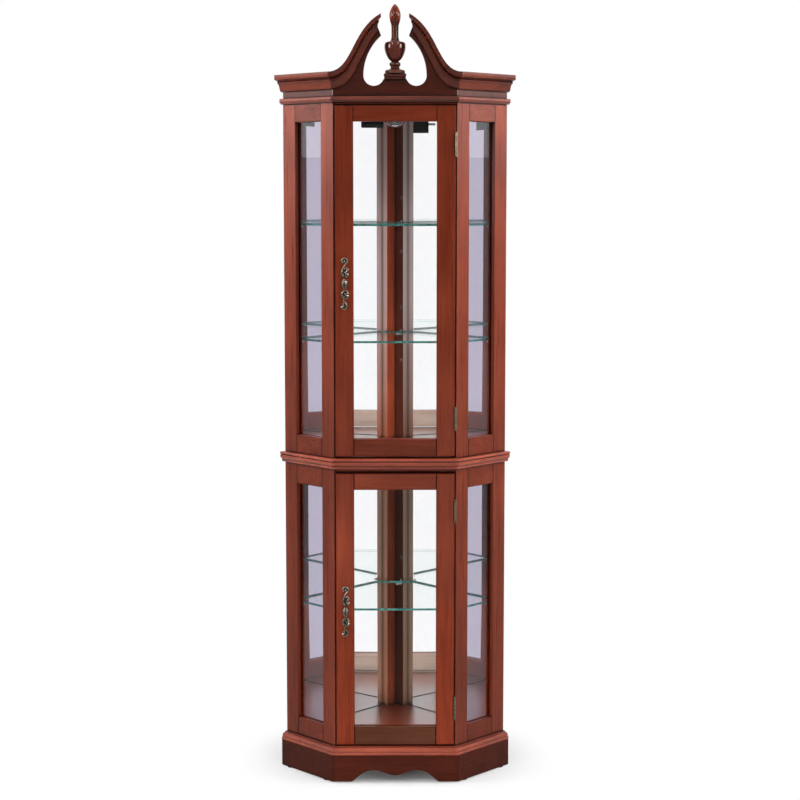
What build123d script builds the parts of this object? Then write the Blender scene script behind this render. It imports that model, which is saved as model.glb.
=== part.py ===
from build123d import *
import math
import os

# Corner display cabinet: two glazed doors, glazed slanted sides, a mirrored right-angle back and a
# swan-neck pediment. Millimetres, +Z up, the doors face -Y. The origin is the middle of the box round
# the cabinet, at floor level.

# Plan of the carcass
FRONT_WIDTH = 281.0  # front plane between its two corners
SIDE_PANEL = 171.0  # width of each slanted side
BOARD = 19.0  # thickness of frames, doors and frieze
SIDE_STILE = 42.0
BACK_BOARD_THICKNESS = 3.0
MIRROR_THICKNESS = 4.0
FIT = 0.4  # small assembly clearance round loose panes

# Rear corner post, an L of two mitred legs seen from above, and the slim posts at the outer ends of the back
POST_LEG = 24.0  # thickness of each leg of the L
POST_FACE = 28.0  # inner width of each leg
POST_LAP = 8.0  # how far a leg laps over the mirror
POST_CHAMFER = 20.0
OUTER_POST_WIDTH = 10.0
OUTER_POST_DEPTH = 15.0

# Heights from the floor up
GLIDE_HEIGHT = 3.0
PLINTH_HEIGHT = 63.0
BASE_MOULDING_HEIGHT = 18.0
BASE_MOULDING_FLAT = 3.0  # upright below its round
BASE_MOULDING_STEP = 5.0  # flat on top of it
BASE_MOULDING_LIP = 2.0
BOTTOM_DECK = 16.0
MIDDLE_DECK = 18.0
TOP_PANEL = 18.0
DOOR_SILL_GAP = 5.0  # below each door
DOOR_HEAD_GAP = 3.0  # above the upper door
WAIST_GAP = 17.0  # above the lower door
LOWER_DOOR_HEIGHT = 643.0
UPPER_DOOR_HEIGHT = 803.0
FRIEZE_HEIGHT = 14.0  # plain band under the cornice
CORNICE_HEIGHT = 39.0

# Side frames
SIDE_BOTTOM_RAIL = 60.0
SIDE_MIDDLE_RAIL = 116.0
SIDE_MIDDLE_RAIL_DROP = 54.0  # below the middle deck
SIDE_TOP_RAIL = 56.0

# Doors
DOOR_SIDE_GAP = 2.8
DOOR_STILE = 42.5
UPPER_DOOR_TOP_RAIL = 36.0
UPPER_DOOR_BOTTOM_RAIL = 41.0
LOWER_DOOR_TOP_RAIL = 38.0
LOWER_DOOR_BOTTOM_RAIL = 43.0
EASE = 0.8  # bevel on the show edges of the frames

# Glazing, in a rebate behind the show face
PANE = 3.0
PANE_SETBACK = 10.0
PANE_LAP = 7.0
BEAD_WIDTH = 8.0

# Mouldings, as projections from the carcass
PLINTH_OUT = 17.0
PLINTH_BOARD = 22.0
WAIST_OUT = 16.4
WAIST_HEIGHT = 24.5
WAIST_LIP = 1.0  # moulding above the middle deck
WAIST_FOOT = 2.5
WAIST_FOOT_OUT = 6.0
WAIST_COVE = 7.0
WAIST_COVE_OUT = 12.4
WAIST_BAND = 2.5
WAIST_BAND_OUT = 13.4
WAIST_CROWN = 5.0  # radius of the round on top
BEAD_OUT = 10.7
BEAD_HEIGHT = 13.0
BEAD_DROP = 1.0  # moulding below the top of the carcass
BEAD_FLAT_OUT = 6.0
CORNICE_OUT = 25.9
CORNICE_FOOT_OUT = 2.0
CORNICE_ROUND = 6.0
CORNICE_ROUND_OUT = 10.0
CORNICE_FACE = 18.0
CORNICE_FACE_OUT = 12.4
CORNICE_COVE = 27.0
CORNICE_COVE_OUT = 22.0

# Plinth scallop
FOOT_WIDTH = 46.0
ARCH_CREST = 27.4
ARCH_CREST_OFFSET = 51.0
ARCH_MIDDLE = 15.8
BACK_RAIL = 15.0
BACK_RAIL_RISE = 17.0

# Floor glides
GLIDE_RADIUS = 9.0
GLIDE_INSET = 22.0

# Pediment
SCROLL_GAP = 63.0  # between the two scroll tips
SCROLL_RISE = 128.5  # tips above the cornice
SCROLL_WIDTH = 27.0  # moulding width on the steep part
SCROLL_FOOT_HANDLE = 56.0
SCROLL_TIP_HANDLE = 76.0
SCROLL_TIP_ANGLE = 28.0
SCROLL_RETURN = 0.51  # slant of the cut at the tip
SCROLL_STATIONS = 11
SCROLL_NARROWED = 0.42  # share of the scroll over which the moulding narrows
CURVE_STEPS = 5
BOARD_TIP_RISE = 135.0  # lower tip of the board above the carcass
BOWL_OFFSET = 48.0
BOWL_RADIUS = 23.5
BOWL_RISE = 46.0
SEAT_RISE = 37.0
PEDESTAL_WIDTH = 51.0
PEDESTAL_DEPTH = 38.0
PEDESTAL_HEIGHT = 13.0
PEDESTAL_ROUND = 3.0
FINIAL_BASE = 11.0
FINIAL_BASE_RADIUS = 22.0
FINIAL_BASE_ROUND = 3.0
FINIAL_NECK = 14.0
FINIAL_NECK_RADIUS = 8.3
FINIAL_RING = 4.5
FINIAL_RING_RADIUS = 12.2
FINIAL_RING_ROUND = 1.0
VASE = 38.5
VASE_RADIUS = 24.0
VASE_TAPER = 4.0
VASE_SHOULDER = 9.0
VASE_LIP = 8.0
STEM = 32.0
STEM_RADIUS = 7.6
STEM_FLARE = 0.9
BUD = 47.0
BUD_RADIUS = 13.3
BUD_TAPER = 3.7
DOWEL_RADIUS = 4.0
DOWEL_LENGTH = 9.0
DOWEL_FIT = 0.1

# Shelves, as heights of their tops above the deck below
SHELF = 5.0
UPPER_SHELF_RISE = 540.0
MIDDLE_SHELF_RISE = 270.0
LOWER_SHELF_RISE = 323.0
SHELF_SETBACK = 32.0
SHELF_SIDE_GAP = 3.0
SHELF_BACK_GAP = 1.5
SHELF_POST_GAP = 2.6
SHELF_CORNER_GAP = 1.4
SHELF_EDGE = 0.6
PIN_RADIUS = 2.5
PIN_LENGTH = 16.0
PIN_TAB = 2.0
PIN_TAB_WIDTH = 7.0
PIN_TAB_RISE = 11.0
HOLE_PITCH = 66.0
HOLE_DEPTH = 7.0

# Hinges
HINGE_LENGTH = 52.0
HINGE_INSET = 88.0  # door end to hinge middle
BARREL_RADIUS = 2.8
BARREL_OUT = 2.8
LEAF = 1.2
LEAF_DEPTH = 14.0
LEAF_CLEARANCE = 0.5
KNUCKLES = 5
KNUCKLE_GAP = 0.3
HINGE_PIN_RADIUS = 1.4
HINGE_PIN_FIT = 0.05
HINGE_PIN_HEAD = 2.0

# Pulls
PULL_INSET = 21.7  # door edge to the middle of the pull
UPPER_PULL_RISE = 399.0  # pull middle above the foot of its door
LOWER_PULL_RISE = 320.0
PULL_SPAN = 104.0  # between the two end curls
PULL_REACH = 21.0
PULL_STEM = 2.3
PULL_CURL = 6.5
PULL_RING = 5.2
PULL_LEAF_LENGTH = 28.0
PULL_LEAF_WIDTH = 14.0
PULL_POST = 3.2

# Door stops and catches
STOP_HEIGHT = 31.0
STOP_DEPTH = 18.0
STOP_GAP = 2.0
STOP_WIDTH = 8.0  # upright stops beside each door
SILL_SETBACK = 7.0  # dust sill under each door
SILL_DEPTH = 10.0
SILL_CLEARANCE = 1.5
CATCH_WIDTH = 36.0
CATCH_HEIGHT = 12.0
CATCH_DROP = 7.0  # door head to the middle of the catch
STRIKE = 1.0
CATCH_GAP = 0.4

# Ceiling lamp: a round spot in a ball that tips towards the doors
LAMP_SETBACK = 165.0
LAMP_TILT = 42.0
LAMP_RADIUS = 24.0
LAMP_DROP = 13.0  # ceiling to the middle of the ball
BEZEL_REACH = 20.0  # middle of the ball to the back of the bezel
BEZEL_HEIGHT = 5.0
BEZEL_RADIUS = 25.0
LENS_RADIUS = 18.0
LENS_FIT = 0.1
BARREL_OFFSET = 27.0
BARREL_LENGTH = 53.0
LAMP_BARREL_RADIUS = 8.0
LAMP_BARREL_DROP = 40.0
BRACKET_WIDTH = 9.0
SWITCH_OFFSET = 61.0
SWITCH_WIDTH = 36.0
SWITCH_DEPTH = 26.0
SWITCH_DROP = 60.0
CLIP_LENGTH = 16.0
CLIP_DROP = 42.0
CLIP_SIZE = 5.0

# Sizes that follow from those above
DIAGONAL = math.sqrt(0.5)
MITRE = math.tan(math.radians(22.5))
FRONT_HALF = FRONT_WIDTH / 2
SIDE_RUN = SIDE_PANEL * DIAGONAL
HALF_WIDTH = FRONT_HALF + SIDE_RUN
WALL = HALF_WIDTH / DIAGONAL
BACK = BACK_BOARD_THICKNESS + MIRROR_THICKNESS
REAR_REACH = SIDE_RUN + HALF_WIDTH - POST_CHAMFER * DIAGONAL
FRONT_Y = (CORNICE_OUT - REAR_REACH) / 2
POST_END = POST_LEG + POST_FACE
POST_BACK = POST_END - POST_LAP

PLINTH_TOP = GLIDE_HEIGHT + PLINTH_HEIGHT
FLOOR_TOP = PLINTH_TOP + BOTTOM_DECK
LOWER_DOOR_Z = FLOOR_TOP + DOOR_SILL_GAP
WAIST_Z = LOWER_DOOR_Z + LOWER_DOOR_HEIGHT + WAIST_GAP
WAIST_TOP = WAIST_Z + MIDDLE_DECK
UPPER_DOOR_Z = WAIST_TOP + DOOR_SILL_GAP
CEILING = UPPER_DOOR_Z + UPPER_DOOR_HEIGHT + DOOR_HEAD_GAP
CARCASS_TOP = CEILING + TOP_PANEL
CORNICE_Z = CARCASS_TOP + FRIEZE_HEIGHT
CORNICE_TOP = CORNICE_Z + CORNICE_HEIGHT
DOOR_HALF = FRONT_HALF - DOOR_SIDE_GAP
DOOR_BACK = FRONT_Y + BOARD

UP = Vector(0, 0, 1)
TOWARD_FRONT = Vector(1, -1, 0).normalized()
ROOM = Plane(origin=(-HALF_WIDTH, FRONT_Y + SIDE_RUN, 0), x_dir=TOWARD_FRONT, z_dir=UP)

NODES = {}


def keep(name, *solids):
    """Files one or more separate solids under the name of a piece."""
    NODES[name] = solids[0] if len(solids) == 1 else Compound(children=list(solids))


def room(u, v):
    """A plan point: u runs along the left back wall to the rear corner, v out from that wall."""
    return (-HALF_WIDTH + (u + v) * DIAGONAL, FRONT_Y + SIDE_RUN + (u - v) * DIAGONAL)


def corner(out):
    """The left front corner of the plan, moved outward by a projection."""
    return (-FRONT_HALF - MITRE * out, FRONT_Y - out)


def flipped(points):
    """Plan points mirrored to the right side, in reverse order."""
    return [(-x, y) for x, y in reversed(points)]


def prism(points, z0, z1):
    return extrude(Pos(0, 0, z0) * Polygon(*points, align=None), amount=z1 - z0, dir=UP)


def block(x0, x1, y0, y1, z0, z1):
    return Pos((x0 + x1) / 2, (y0 + y1) / 2, (z0 + z1) / 2) * Box(x1 - x0, y1 - y0, z1 - z0)


def on_left(shape):
    """Moves a shape drawn as an upright panel (X along v, Y along u) to the left side."""
    return ROOM.location * shape


def on_right(shape):
    return mirror(on_left(shape), about=Plane.YZ)


def eased(shape):
    """Bevels the edges round the show face, which looks along -Y."""
    return chamfer(shape.faces().sort_by(Axis.Y)[0].edges(), EASE)


def upright(outline, y0, y1):
    """Extrudes an outline drawn in X and Z between two depths."""
    return extrude(Pos(0, y0, 0) * outline, amount=y1 - y0, dir=(0, 1, 0))


def pocket(x0, x1, z0, z1, lap, y0, y1):
    return block(x0 - lap, x1 + lap, y0, y1, z0 - lap, z1 + lap)


def bead_ring(x0, x1, z0, z1, y0, y1):
    """Four butted strips that hold a pane in its rebate."""
    wide0, wide1 = x0 - BEAD_WIDTH, x1 + BEAD_WIDTH
    low, high = z0 - BEAD_WIDTH, z1 + BEAD_WIDTH
    return [
        block(wide0, x0, y0, y1, low, high),
        block(x1, wide1, y0, y1, low, high),
        block(x0, x1, y0, y1, low, z0),
        block(x0, x1, y0, y1, z1, high),
    ]


def glazed(x0, x1, z0, z1, face):
    """The rebate, the pane and the beads of one glazed opening behind a show face."""
    back = face + BOARD
    glass = face + PANE_SETBACK
    rebate = pocket(x0, x1, z0, z1, BEAD_WIDTH, glass, back)
    pane = pocket(x0, x1, z0, z1, PANE_LAP, glass, glass + PANE)
    return rebate, pane, bead_ring(x0, x1, z0, z1, glass + PANE, back)


def moulding(section):
    """Mitred strips of one section along the left side, the front and the right side."""
    box = section.bounding_box()
    out = box.max.X + 1
    side_plane = Plane(origin=(*room(0, 0), 0), x_dir=(-1, -1, 0), z_dir=-TOWARD_FRONT)
    front_plane = Plane(origin=(0, FRONT_Y, 0), x_dir=(0, -1, 0), z_dir=(-1, 0, 0))
    length = SIDE_PANEL + out
    side = extrude(side_plane * section, amount=length, dir=TOWARD_FRONT)
    front = extrude(front_plane * section, amount=FRONT_HALF + out, both=True)
    side_plan = [room(0, 0), room(-out, 0), corner(out), corner(0)]
    front_plan = [corner(0), corner(out)]
    side = side & prism(side_plan, box.min.Y, box.max.Y)
    front = front & prism(front_plan + flipped(front_plan), box.min.Y, box.max.Y)
    return side, front, mirror(side, about=Plane.YZ)


def xz(x, z):
    return (x, 0, z)


def base_section():
    """A quarter round on the plinth, with a small flat on top."""
    shoulder = PLINTH_TOP + BASE_MOULDING_FLAT
    lip = PLINTH_TOP + BASE_MOULDING_HEIGHT - BASE_MOULDING_LIP
    top = PLINTH_TOP + BASE_MOULDING_HEIGHT
    edges = [
        Polyline((BASE_MOULDING_STEP, lip), (BASE_MOULDING_STEP, top), (0, top), (0, PLINTH_TOP)),
        Polyline((0, PLINTH_TOP), (PLINTH_OUT, PLINTH_TOP), (PLINTH_OUT, shoulder)),
        TangentArc((PLINTH_OUT, shoulder), (BASE_MOULDING_STEP, lip), tangent=(0, 1)),
    ]
    return make_face(edges)


def waist_section():
    """A cove under a band and a nose with a round top."""
    top = WAIST_TOP + WAIST_LIP
    foot = top - WAIST_HEIGHT
    cove = foot + WAIST_FOOT
    band = cove + WAIST_COVE
    nose = band + WAIST_BAND
    crown = top - WAIST_CROWN
    crown_out = WAIST_OUT - WAIST_CROWN
    edges = [
        Polyline((crown_out, top), (0, top), (0, foot), (WAIST_FOOT_OUT, foot), (WAIST_FOOT_OUT, cove)),
        TangentArc((WAIST_FOOT_OUT, cove), (WAIST_COVE_OUT, band), tangent=(0, 1)),
        Polyline((WAIST_COVE_OUT, band), (WAIST_BAND_OUT, band), (WAIST_OUT, nose), (WAIST_OUT, crown)),
        TangentArc((WAIST_OUT, crown), (crown_out, top), tangent=(0, 1)),
    ]
    return make_face(edges)


def bead_section():
    """A half-round nose."""
    top = CARCASS_TOP - BEAD_DROP
    foot = top - BEAD_HEIGHT
    edges = [
        Polyline((BEAD_FLAT_OUT, top), (0, top), (0, foot), (BEAD_FLAT_OUT, foot)),
        ThreePointArc((BEAD_FLAT_OUT, foot), (BEAD_OUT, (foot + top) / 2), (BEAD_FLAT_OUT, top)),
    ]
    return make_face(edges)


def cornice_points():
    """The cornice section as (projection, height): a round, a face, a cove and a fillet."""
    points = [(0, 0)]
    quarter = [math.radians(90 * i / CURVE_STEPS) for i in range(CURVE_STEPS + 1)]
    for angle in quarter:
        out = CORNICE_FOOT_OUT + (CORNICE_ROUND_OUT - CORNICE_FOOT_OUT) * math.sin(angle)
        points.append((out, CORNICE_ROUND * (1 - math.cos(angle))))
    for angle in quarter:
        out = CORNICE_FACE_OUT + (CORNICE_COVE_OUT - CORNICE_FACE_OUT) * (1 - math.cos(angle))
        points.append((out, CORNICE_FACE + (CORNICE_COVE - CORNICE_FACE) * math.sin(angle)))
    points.append((CORNICE_OUT, CORNICE_COVE))
    points.append((CORNICE_OUT, CORNICE_HEIGHT))
    points.append((0, CORNICE_HEIGHT))
    return points


def scroll_controls():
    """Control points of the S-curve that the upper edge of the left scroll follows, in X and Z."""
    angle = math.radians(SCROLL_TIP_ANGLE)
    foot = (-FRONT_HALF - MITRE * CORNICE_OUT, CORNICE_TOP)
    tip = (-SCROLL_GAP / 2, CORNICE_TOP + SCROLL_RISE)
    after_foot = (foot[0] + SCROLL_FOOT_HANDLE, foot[1])
    before_tip = (tip[0] - SCROLL_TIP_HANDLE * math.cos(angle), tip[1] - SCROLL_TIP_HANDLE * math.sin(angle))
    return foot, after_foot, before_tip, tip


def scroll_section(t):
    """The cornice section set square to the S-curve, narrower on the steep part."""
    curve = Bezier(*[xz(*point) for point in scroll_controls()])
    edge = curve @ t
    heading = curve % t
    climb = min(1, t / SCROLL_NARROWED)
    width = CORNICE_HEIGHT + (SCROLL_WIDTH - CORNICE_HEIGHT) * climb * climb * (3 - 2 * climb)
    points = []
    for out, height in cornice_points():
        drop = (CORNICE_HEIGHT - height) * width / CORNICE_HEIGHT
        points.append((edge.X + drop * heading.Z, FRONT_Y - out, edge.Z - drop * heading.X))
    return make_face(Polyline(*points, close=True))


def scroll_tip(out):
    """The slanted cut at the tip of the left scroll, in plan."""
    return (-SCROLL_GAP / 2 - SCROLL_RETURN * (CORNICE_OUT - out), FRONT_Y - out)


def left_scroll():
    body = loft([scroll_section(i / (SCROLL_STATIONS - 1)) for i in range(SCROLL_STATIONS)])
    out = 2 * CORNICE_OUT
    plan = [corner(0), corner(out), scroll_tip(out), scroll_tip(0)]
    return body & prism(plan, CORNICE_Z - CORNICE_HEIGHT, CORNICE_TOP + 2 * SCROLL_RISE)


def left_half_pediment():
    """The sawn board behind the scroll, from the middle of the cabinet to its left front corner."""
    foot, after_foot, before_tip, tip = scroll_controls()
    seat = CARCASS_TOP + SEAT_RISE
    bowl = CARCASS_TOP + BOWL_RISE
    bowl_left = xz(-BOWL_OFFSET - BOWL_RADIUS, bowl)
    bowl_foot = xz(-BOWL_OFFSET, bowl - BOWL_RADIUS)
    bowl_right = xz(-BOWL_OFFSET + math.sqrt(BOWL_RADIUS**2 - (bowl - seat) ** 2), seat)
    point = xz(tip[0], CARCASS_TOP + BOARD_TIP_RISE)
    edges = [
        Polyline(bowl_right, xz(0, seat), xz(0, CARCASS_TOP), xz(foot[0], CARCASS_TOP), xz(*foot)),
        Bezier(xz(*foot), xz(*after_foot), xz(*before_tip), xz(*tip)),
        Line(xz(*tip), point),
        TangentArc(bowl_left, point, tangent=(0, 0, 1)),
        ThreePointArc(bowl_left, bowl_foot, bowl_right),
    ]
    board = upright(make_face(edges), FRONT_Y, FRONT_Y + BOARD)
    inside = block(-FRONT_HALF, 0, FRONT_Y, FRONT_Y + BOARD, CARCASS_TOP, tip[1])
    cut_x = scroll_tip(0)[0]
    above = 2 * tip[1]
    off = Polyline(point, xz(cut_x, tip[1] - tip[0] + cut_x), xz(cut_x, above), xz(0, above), close=True)
    return (board & inside) - upright(make_face(off), FRONT_Y, FRONT_Y + BOARD)


def finial():
    """A turned vase with a bud on a slim stem, above a dowel."""
    neck = FINIAL_BASE + FINIAL_NECK
    vase = neck + FINIAL_RING
    shoulder = vase + VASE
    stem = shoulder + VASE_SHOULDER
    bud = stem + STEM
    tip = bud + BUD
    base_in = FINIAL_BASE_RADIUS - FINIAL_BASE_ROUND
    ring_in = FINIAL_RING_RADIUS - FINIAL_RING_ROUND
    waist = FINIAL_BASE + FINIAL_NECK / 2
    mouth = STEM_RADIUS + VASE_LIP
    collar = VASE_RADIUS - VASE_LIP / 3
    belly = VASE_RADIUS - VASE_TAPER
    edges = [
        Polyline(xz(0, tip), xz(0, -DOWEL_LENGTH), xz(DOWEL_RADIUS, -DOWEL_LENGTH)),
        Polyline(xz(DOWEL_RADIUS, -DOWEL_LENGTH), xz(DOWEL_RADIUS, 0), xz(base_in, 0)),
        ThreePointArc(xz(base_in, 0), xz(FINIAL_BASE_RADIUS, FINIAL_BASE / 2), xz(base_in, FINIAL_BASE)),
        Spline(xz(base_in, FINIAL_BASE), xz(FINIAL_NECK_RADIUS, waist), xz(ring_in, neck)),
        ThreePointArc(xz(ring_in, neck), xz(FINIAL_RING_RADIUS, (neck + vase) / 2), xz(ring_in, vase)),
        Spline(xz(ring_in, vase), xz(belly, (vase + shoulder) / 2), xz(VASE_RADIUS, shoulder)),
        ThreePointArc(xz(VASE_RADIUS, shoulder), xz(collar, (shoulder + stem) / 2), xz(mouth, stem)),
        Polyline(xz(mouth, stem), xz(STEM_RADIUS, stem), xz(STEM_RADIUS + STEM_FLARE, bud)),
        Spline(
            xz(STEM_RADIUS + STEM_FLARE, bud),
            xz(BUD_RADIUS, bud + BUD / 2),
            xz(BUD_RADIUS - BUD_TAPER, tip - BUD / 5),
            xz(0, tip),
        ),
    ]
    return revolve(make_face(edges), axis=Axis.Z)


def door(name, foot, height, rails, pull_rise):
    """One glazed door, flush between the front stiles, with its pull, hinge leaves and strike."""
    bottom_rail, top_rail = rails
    head = foot + height
    open_x = DOOR_HALF - DOOR_STILE
    open_foot = foot + bottom_rail
    open_head = head - top_rail
    rebate, pane, beads = glazed(-open_x, open_x, open_foot, open_head, FRONT_Y)
    left = eased(block(-DOOR_HALF, -open_x, FRONT_Y, DOOR_BACK, foot, head)) - rebate
    right = eased(block(open_x, DOOR_HALF, FRONT_Y, DOOR_BACK, foot, head)) - rebate
    low = eased(block(-open_x, open_x, FRONT_Y, DOOR_BACK, foot, open_foot)) - rebate
    high = eased(block(-open_x, open_x, FRONT_Y, DOOR_BACK, open_head, head)) - rebate
    keep(name + "_stiles", left, right)
    keep(name + "_rails", low, high)
    keep(name + "_glass", pane)
    keep(name + "_glazing_beads", *beads)
    keep(name + "_pull", Pos(-DOOR_HALF + PULL_INSET, FRONT_Y, foot + pull_rise) * pull())
    keep(name + "_hinge_leaves", *[hinge_leaf(z, False) for z in hinge_heights(foot, height)])
    strike_x = -open_x + CATCH_WIDTH
    strike_z = head - CATCH_DROP
    half = CATCH_HEIGHT / 2
    strike_back = DOOR_BACK + STRIKE
    plate = block(strike_x - half, strike_x + half, DOOR_BACK, strike_back, strike_z - half, strike_z + half)
    keep(name + "_strike", plate)


def hinge_heights(foot, height):
    return [foot + HINGE_INSET, foot + height - HINGE_INSET]


def hinge_leaf(middle, on_frame):
    """A leaf in the gap beside the door, with its share of the knuckles round the hinge axis."""
    axis_x = FRONT_HALF - DOOR_SIDE_GAP / 2
    axis_y = FRONT_Y - BARREL_OUT
    foot = middle - HINGE_LENGTH / 2
    step = HINGE_LENGTH / KNUCKLES
    x0 = FRONT_HALF - LEAF if on_frame else DOOR_HALF
    plate_y = axis_y + BARREL_RADIUS + LEAF_CLEARANCE
    leaf = block(x0, x0 + LEAF, plate_y, FRONT_Y + LEAF_DEPTH, foot, foot + HINGE_LENGTH)
    for i in range(KNUCKLES):
        if (i % 2 == 0) == on_frame:
            z0 = foot + i * step + (KNUCKLE_GAP / 2 if i > 0 else 0)
            z1 = foot + (i + 1) * step - (KNUCKLE_GAP / 2 if i < KNUCKLES - 1 else 0)
            knuckle = Pos(axis_x, axis_y, (z0 + z1) / 2) * Cylinder(BARREL_RADIUS, z1 - z0)
            leaf = leaf + knuckle + block(x0, x0 + LEAF, axis_y, plate_y, z0, z1)
    bore = Cylinder(HINGE_PIN_RADIUS + HINGE_PIN_FIT, 2 * HINGE_LENGTH)
    return leaf - Pos(axis_x, axis_y, middle) * bore


def hinge_pin(middle):
    """A pin with a small round head at each end of the barrel."""
    half = HINGE_LENGTH / 2
    shank = Cylinder(HINGE_PIN_RADIUS, HINGE_LENGTH)
    head = Cylinder(HINGE_PIN_HEAD, HINGE_PIN_HEAD)
    head = fillet(head.edges().sort_by(Axis.Z)[-1:], HINGE_PIN_HEAD / 2)
    top = Pos(0, 0, half + HINGE_PIN_HEAD / 2) * head
    pin = shank + top + mirror(top, about=Plane.XY)
    return Pos(FRONT_HALF - DOOR_SIDE_GAP / 2, FRONT_Y - BARREL_OUT, middle) * pin


def pull():
    """A cast scroll pull: end curls on posts, a waved stem, two rings and a leaf in the middle."""
    end = PULL_SPAN / 2
    depth = PULL_REACH - PULL_LEAF_WIDTH / 2
    sway = PULL_RING * 0.7
    ring_z = PULL_LEAF_LENGTH / 2 + PULL_RING + PULL_STEM
    route = Spline(
        (0, -PULL_CURL, end),
        (-sway, -depth, ring_z + PULL_RING),
        (0, -depth, PULL_LEAF_LENGTH / 2),
        (0, -depth, -PULL_LEAF_LENGTH / 2),
        (-sway, -depth, -ring_z - PULL_RING),
        (0, -PULL_CURL, -end),
    )
    stem = sweep(Plane(origin=route @ 0, z_dir=route % 0) * Circle(PULL_STEM), path=route)
    half_leaf = PULL_LEAF_LENGTH / 2
    half_width = PULL_LEAF_WIDTH / 2
    lens = [
        Line(xz(0, -half_leaf), xz(0, half_leaf)),
        ThreePointArc(xz(0, -half_leaf), xz(half_width, 0), xz(0, half_leaf)),
    ]
    body = stem + Pos(0, -depth, 0) * revolve(make_face(lens), axis=Axis.Z)
    for side in (-1, 1):
        post = Pos(0, -PULL_CURL / 2, side * end) * Rot(90, 0, 0) * Cylinder(PULL_POST, PULL_CURL)
        ring = Pos(PULL_STEM, -depth, side * ring_z) * Rot(90, 0, 0) * Torus(PULL_RING, PULL_STEM * 0.8)
        curl = Pos(0, -PULL_CURL, side * end) * Sphere(PULL_CURL * 0.98)
        body = body + post + ring + curl
    return body & block(-PULL_REACH, PULL_REACH, -2 * PULL_REACH, 0, -PULL_SPAN, PULL_SPAN)


def shelf_outline():
    """Left half of a shelf's plan, from the front edge to the edge before the rear post."""
    side = BOARD + SHELF_SIDE_GAP
    back = BACK + SHELF_BACK_GAP
    front_v = side + (SIDE_RUN - SHELF_SETBACK) / DIAGONAL
    clip = BOARD + OUTER_POST_WIDTH + BACK + OUTER_POST_DEPTH + SHELF_CORNER_GAP / DIAGONAL
    rear = WALL - POST_END - POST_LEG - SHELF_POST_GAP / DIAGONAL
    return [room(side, front_v), room(side, clip - side), room(clip - back, back), room(rear + back, back)]


def shelf(top):
    half = shelf_outline()
    plate = prism(half + flipped(half), top - SHELF, top)
    rims = plate.faces().filter_by(Axis.Z).edges()
    return chamfer(rims, SHELF_EDGE)


def shelf_pin(middle):
    """A pin that carries a shelf, pointing along +Y from a wall at Y = 0, with a tab beside the glass."""
    rod = Pos(0, PIN_LENGTH / 2, middle) * Rot(90, 0, 0) * Cylinder(PIN_RADIUS, PIN_LENGTH)
    half = PIN_TAB_WIDTH / 2
    tab = block(-half, half, 0, PIN_TAB, middle - PIN_RADIUS, middle + PIN_TAB_RISE)
    return rod + tab


def pin_hole(z):
    return Pos(0, 0, z) * Rot(90, 0, 0) * Cylinder(PIN_RADIUS, 2 * HOLE_DEPTH)


# Where the shelves rest: a wall face with Y pointing off it, in the panel frame of the left side
FRONT_SEAT = Pos(SIDE_PANEL - BOARD - PIN_TAB_WIDTH - BOARD / 3, BOARD, 0)
OUTER_SEAT = Pos(BACK + OUTER_POST_DEPTH, BOARD + OUTER_POST_WIDTH / 2, 0) * Rot(0, 0, -90)
REAR_SEAT = Pos(POST_LEG, WALL - POST_END + PIN_RADIUS + PIN_TAB_WIDTH / 2, 0) * Rot(0, 0, -90)

SHELF_TOPS = {
    "upper_shelf": WAIST_TOP + UPPER_SHELF_RISE,
    "middle_shelf": WAIST_TOP + MIDDLE_SHELF_RISE,
    "lower_shelf": FLOOR_TOP + LOWER_SHELF_RISE,
}
PIN_LEVELS = [top - SHELF - PIN_RADIUS for top in SHELF_TOPS.values()]
SPARE_HOLES = [level + step for level in PIN_LEVELS for step in (-HOLE_PITCH, HOLE_PITCH)]


# Plinth
scallop_x = FRONT_HALF + MITRE * PLINTH_OUT - FOOT_WIDTH
crest = xz(-ARCH_CREST_OFFSET, GLIDE_HEIGHT + ARCH_CREST)
scallop_edges = [
    Polyline(xz(-scallop_x, GLIDE_HEIGHT), xz(-scallop_x, 0), xz(0, 0), xz(0, GLIDE_HEIGHT + ARCH_MIDDLE)),
    Spline(xz(-scallop_x, GLIDE_HEIGHT), crest, tangents=[(1, 0, 0.7), (1, 0, 0)]),
    Spline(crest, xz(0, GLIDE_HEIGHT + ARCH_MIDDLE), tangents=[(1, 0, 0), (1, 0, 0)]),
]
scallop = upright(make_face(scallop_edges), FRONT_Y - PLINTH_OUT, FRONT_Y + PLINTH_BOARD)
inner = PLINTH_OUT - PLINTH_BOARD
front_plan = [corner(inner), corner(PLINTH_OUT)]
plinth_front = prism(front_plan + flipped(front_plan), GLIDE_HEIGHT, PLINTH_TOP)
keep("plinth_front", plinth_front - scallop - mirror(scallop, about=Plane.YZ))
side_plan = [room(-PLINTH_OUT, 0), room(-inner, 0), corner(inner), corner(PLINTH_OUT)]
plinth_side = prism(side_plan, GLIDE_HEIGHT, PLINTH_TOP)
keep("plinth_sides", plinth_side, mirror(plinth_side, about=Plane.YZ))
rail_z = GLIDE_HEIGHT + BACK_RAIL_RISE
back_rail = block(BACK, BACK + BACK_RAIL, -inner, WALL - POST_END, rail_z, PLINTH_TOP)
keep("plinth_back_rails", on_left(back_rail), on_right(back_rail))
keep("base_moulding", *moulding(base_section()))

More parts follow.
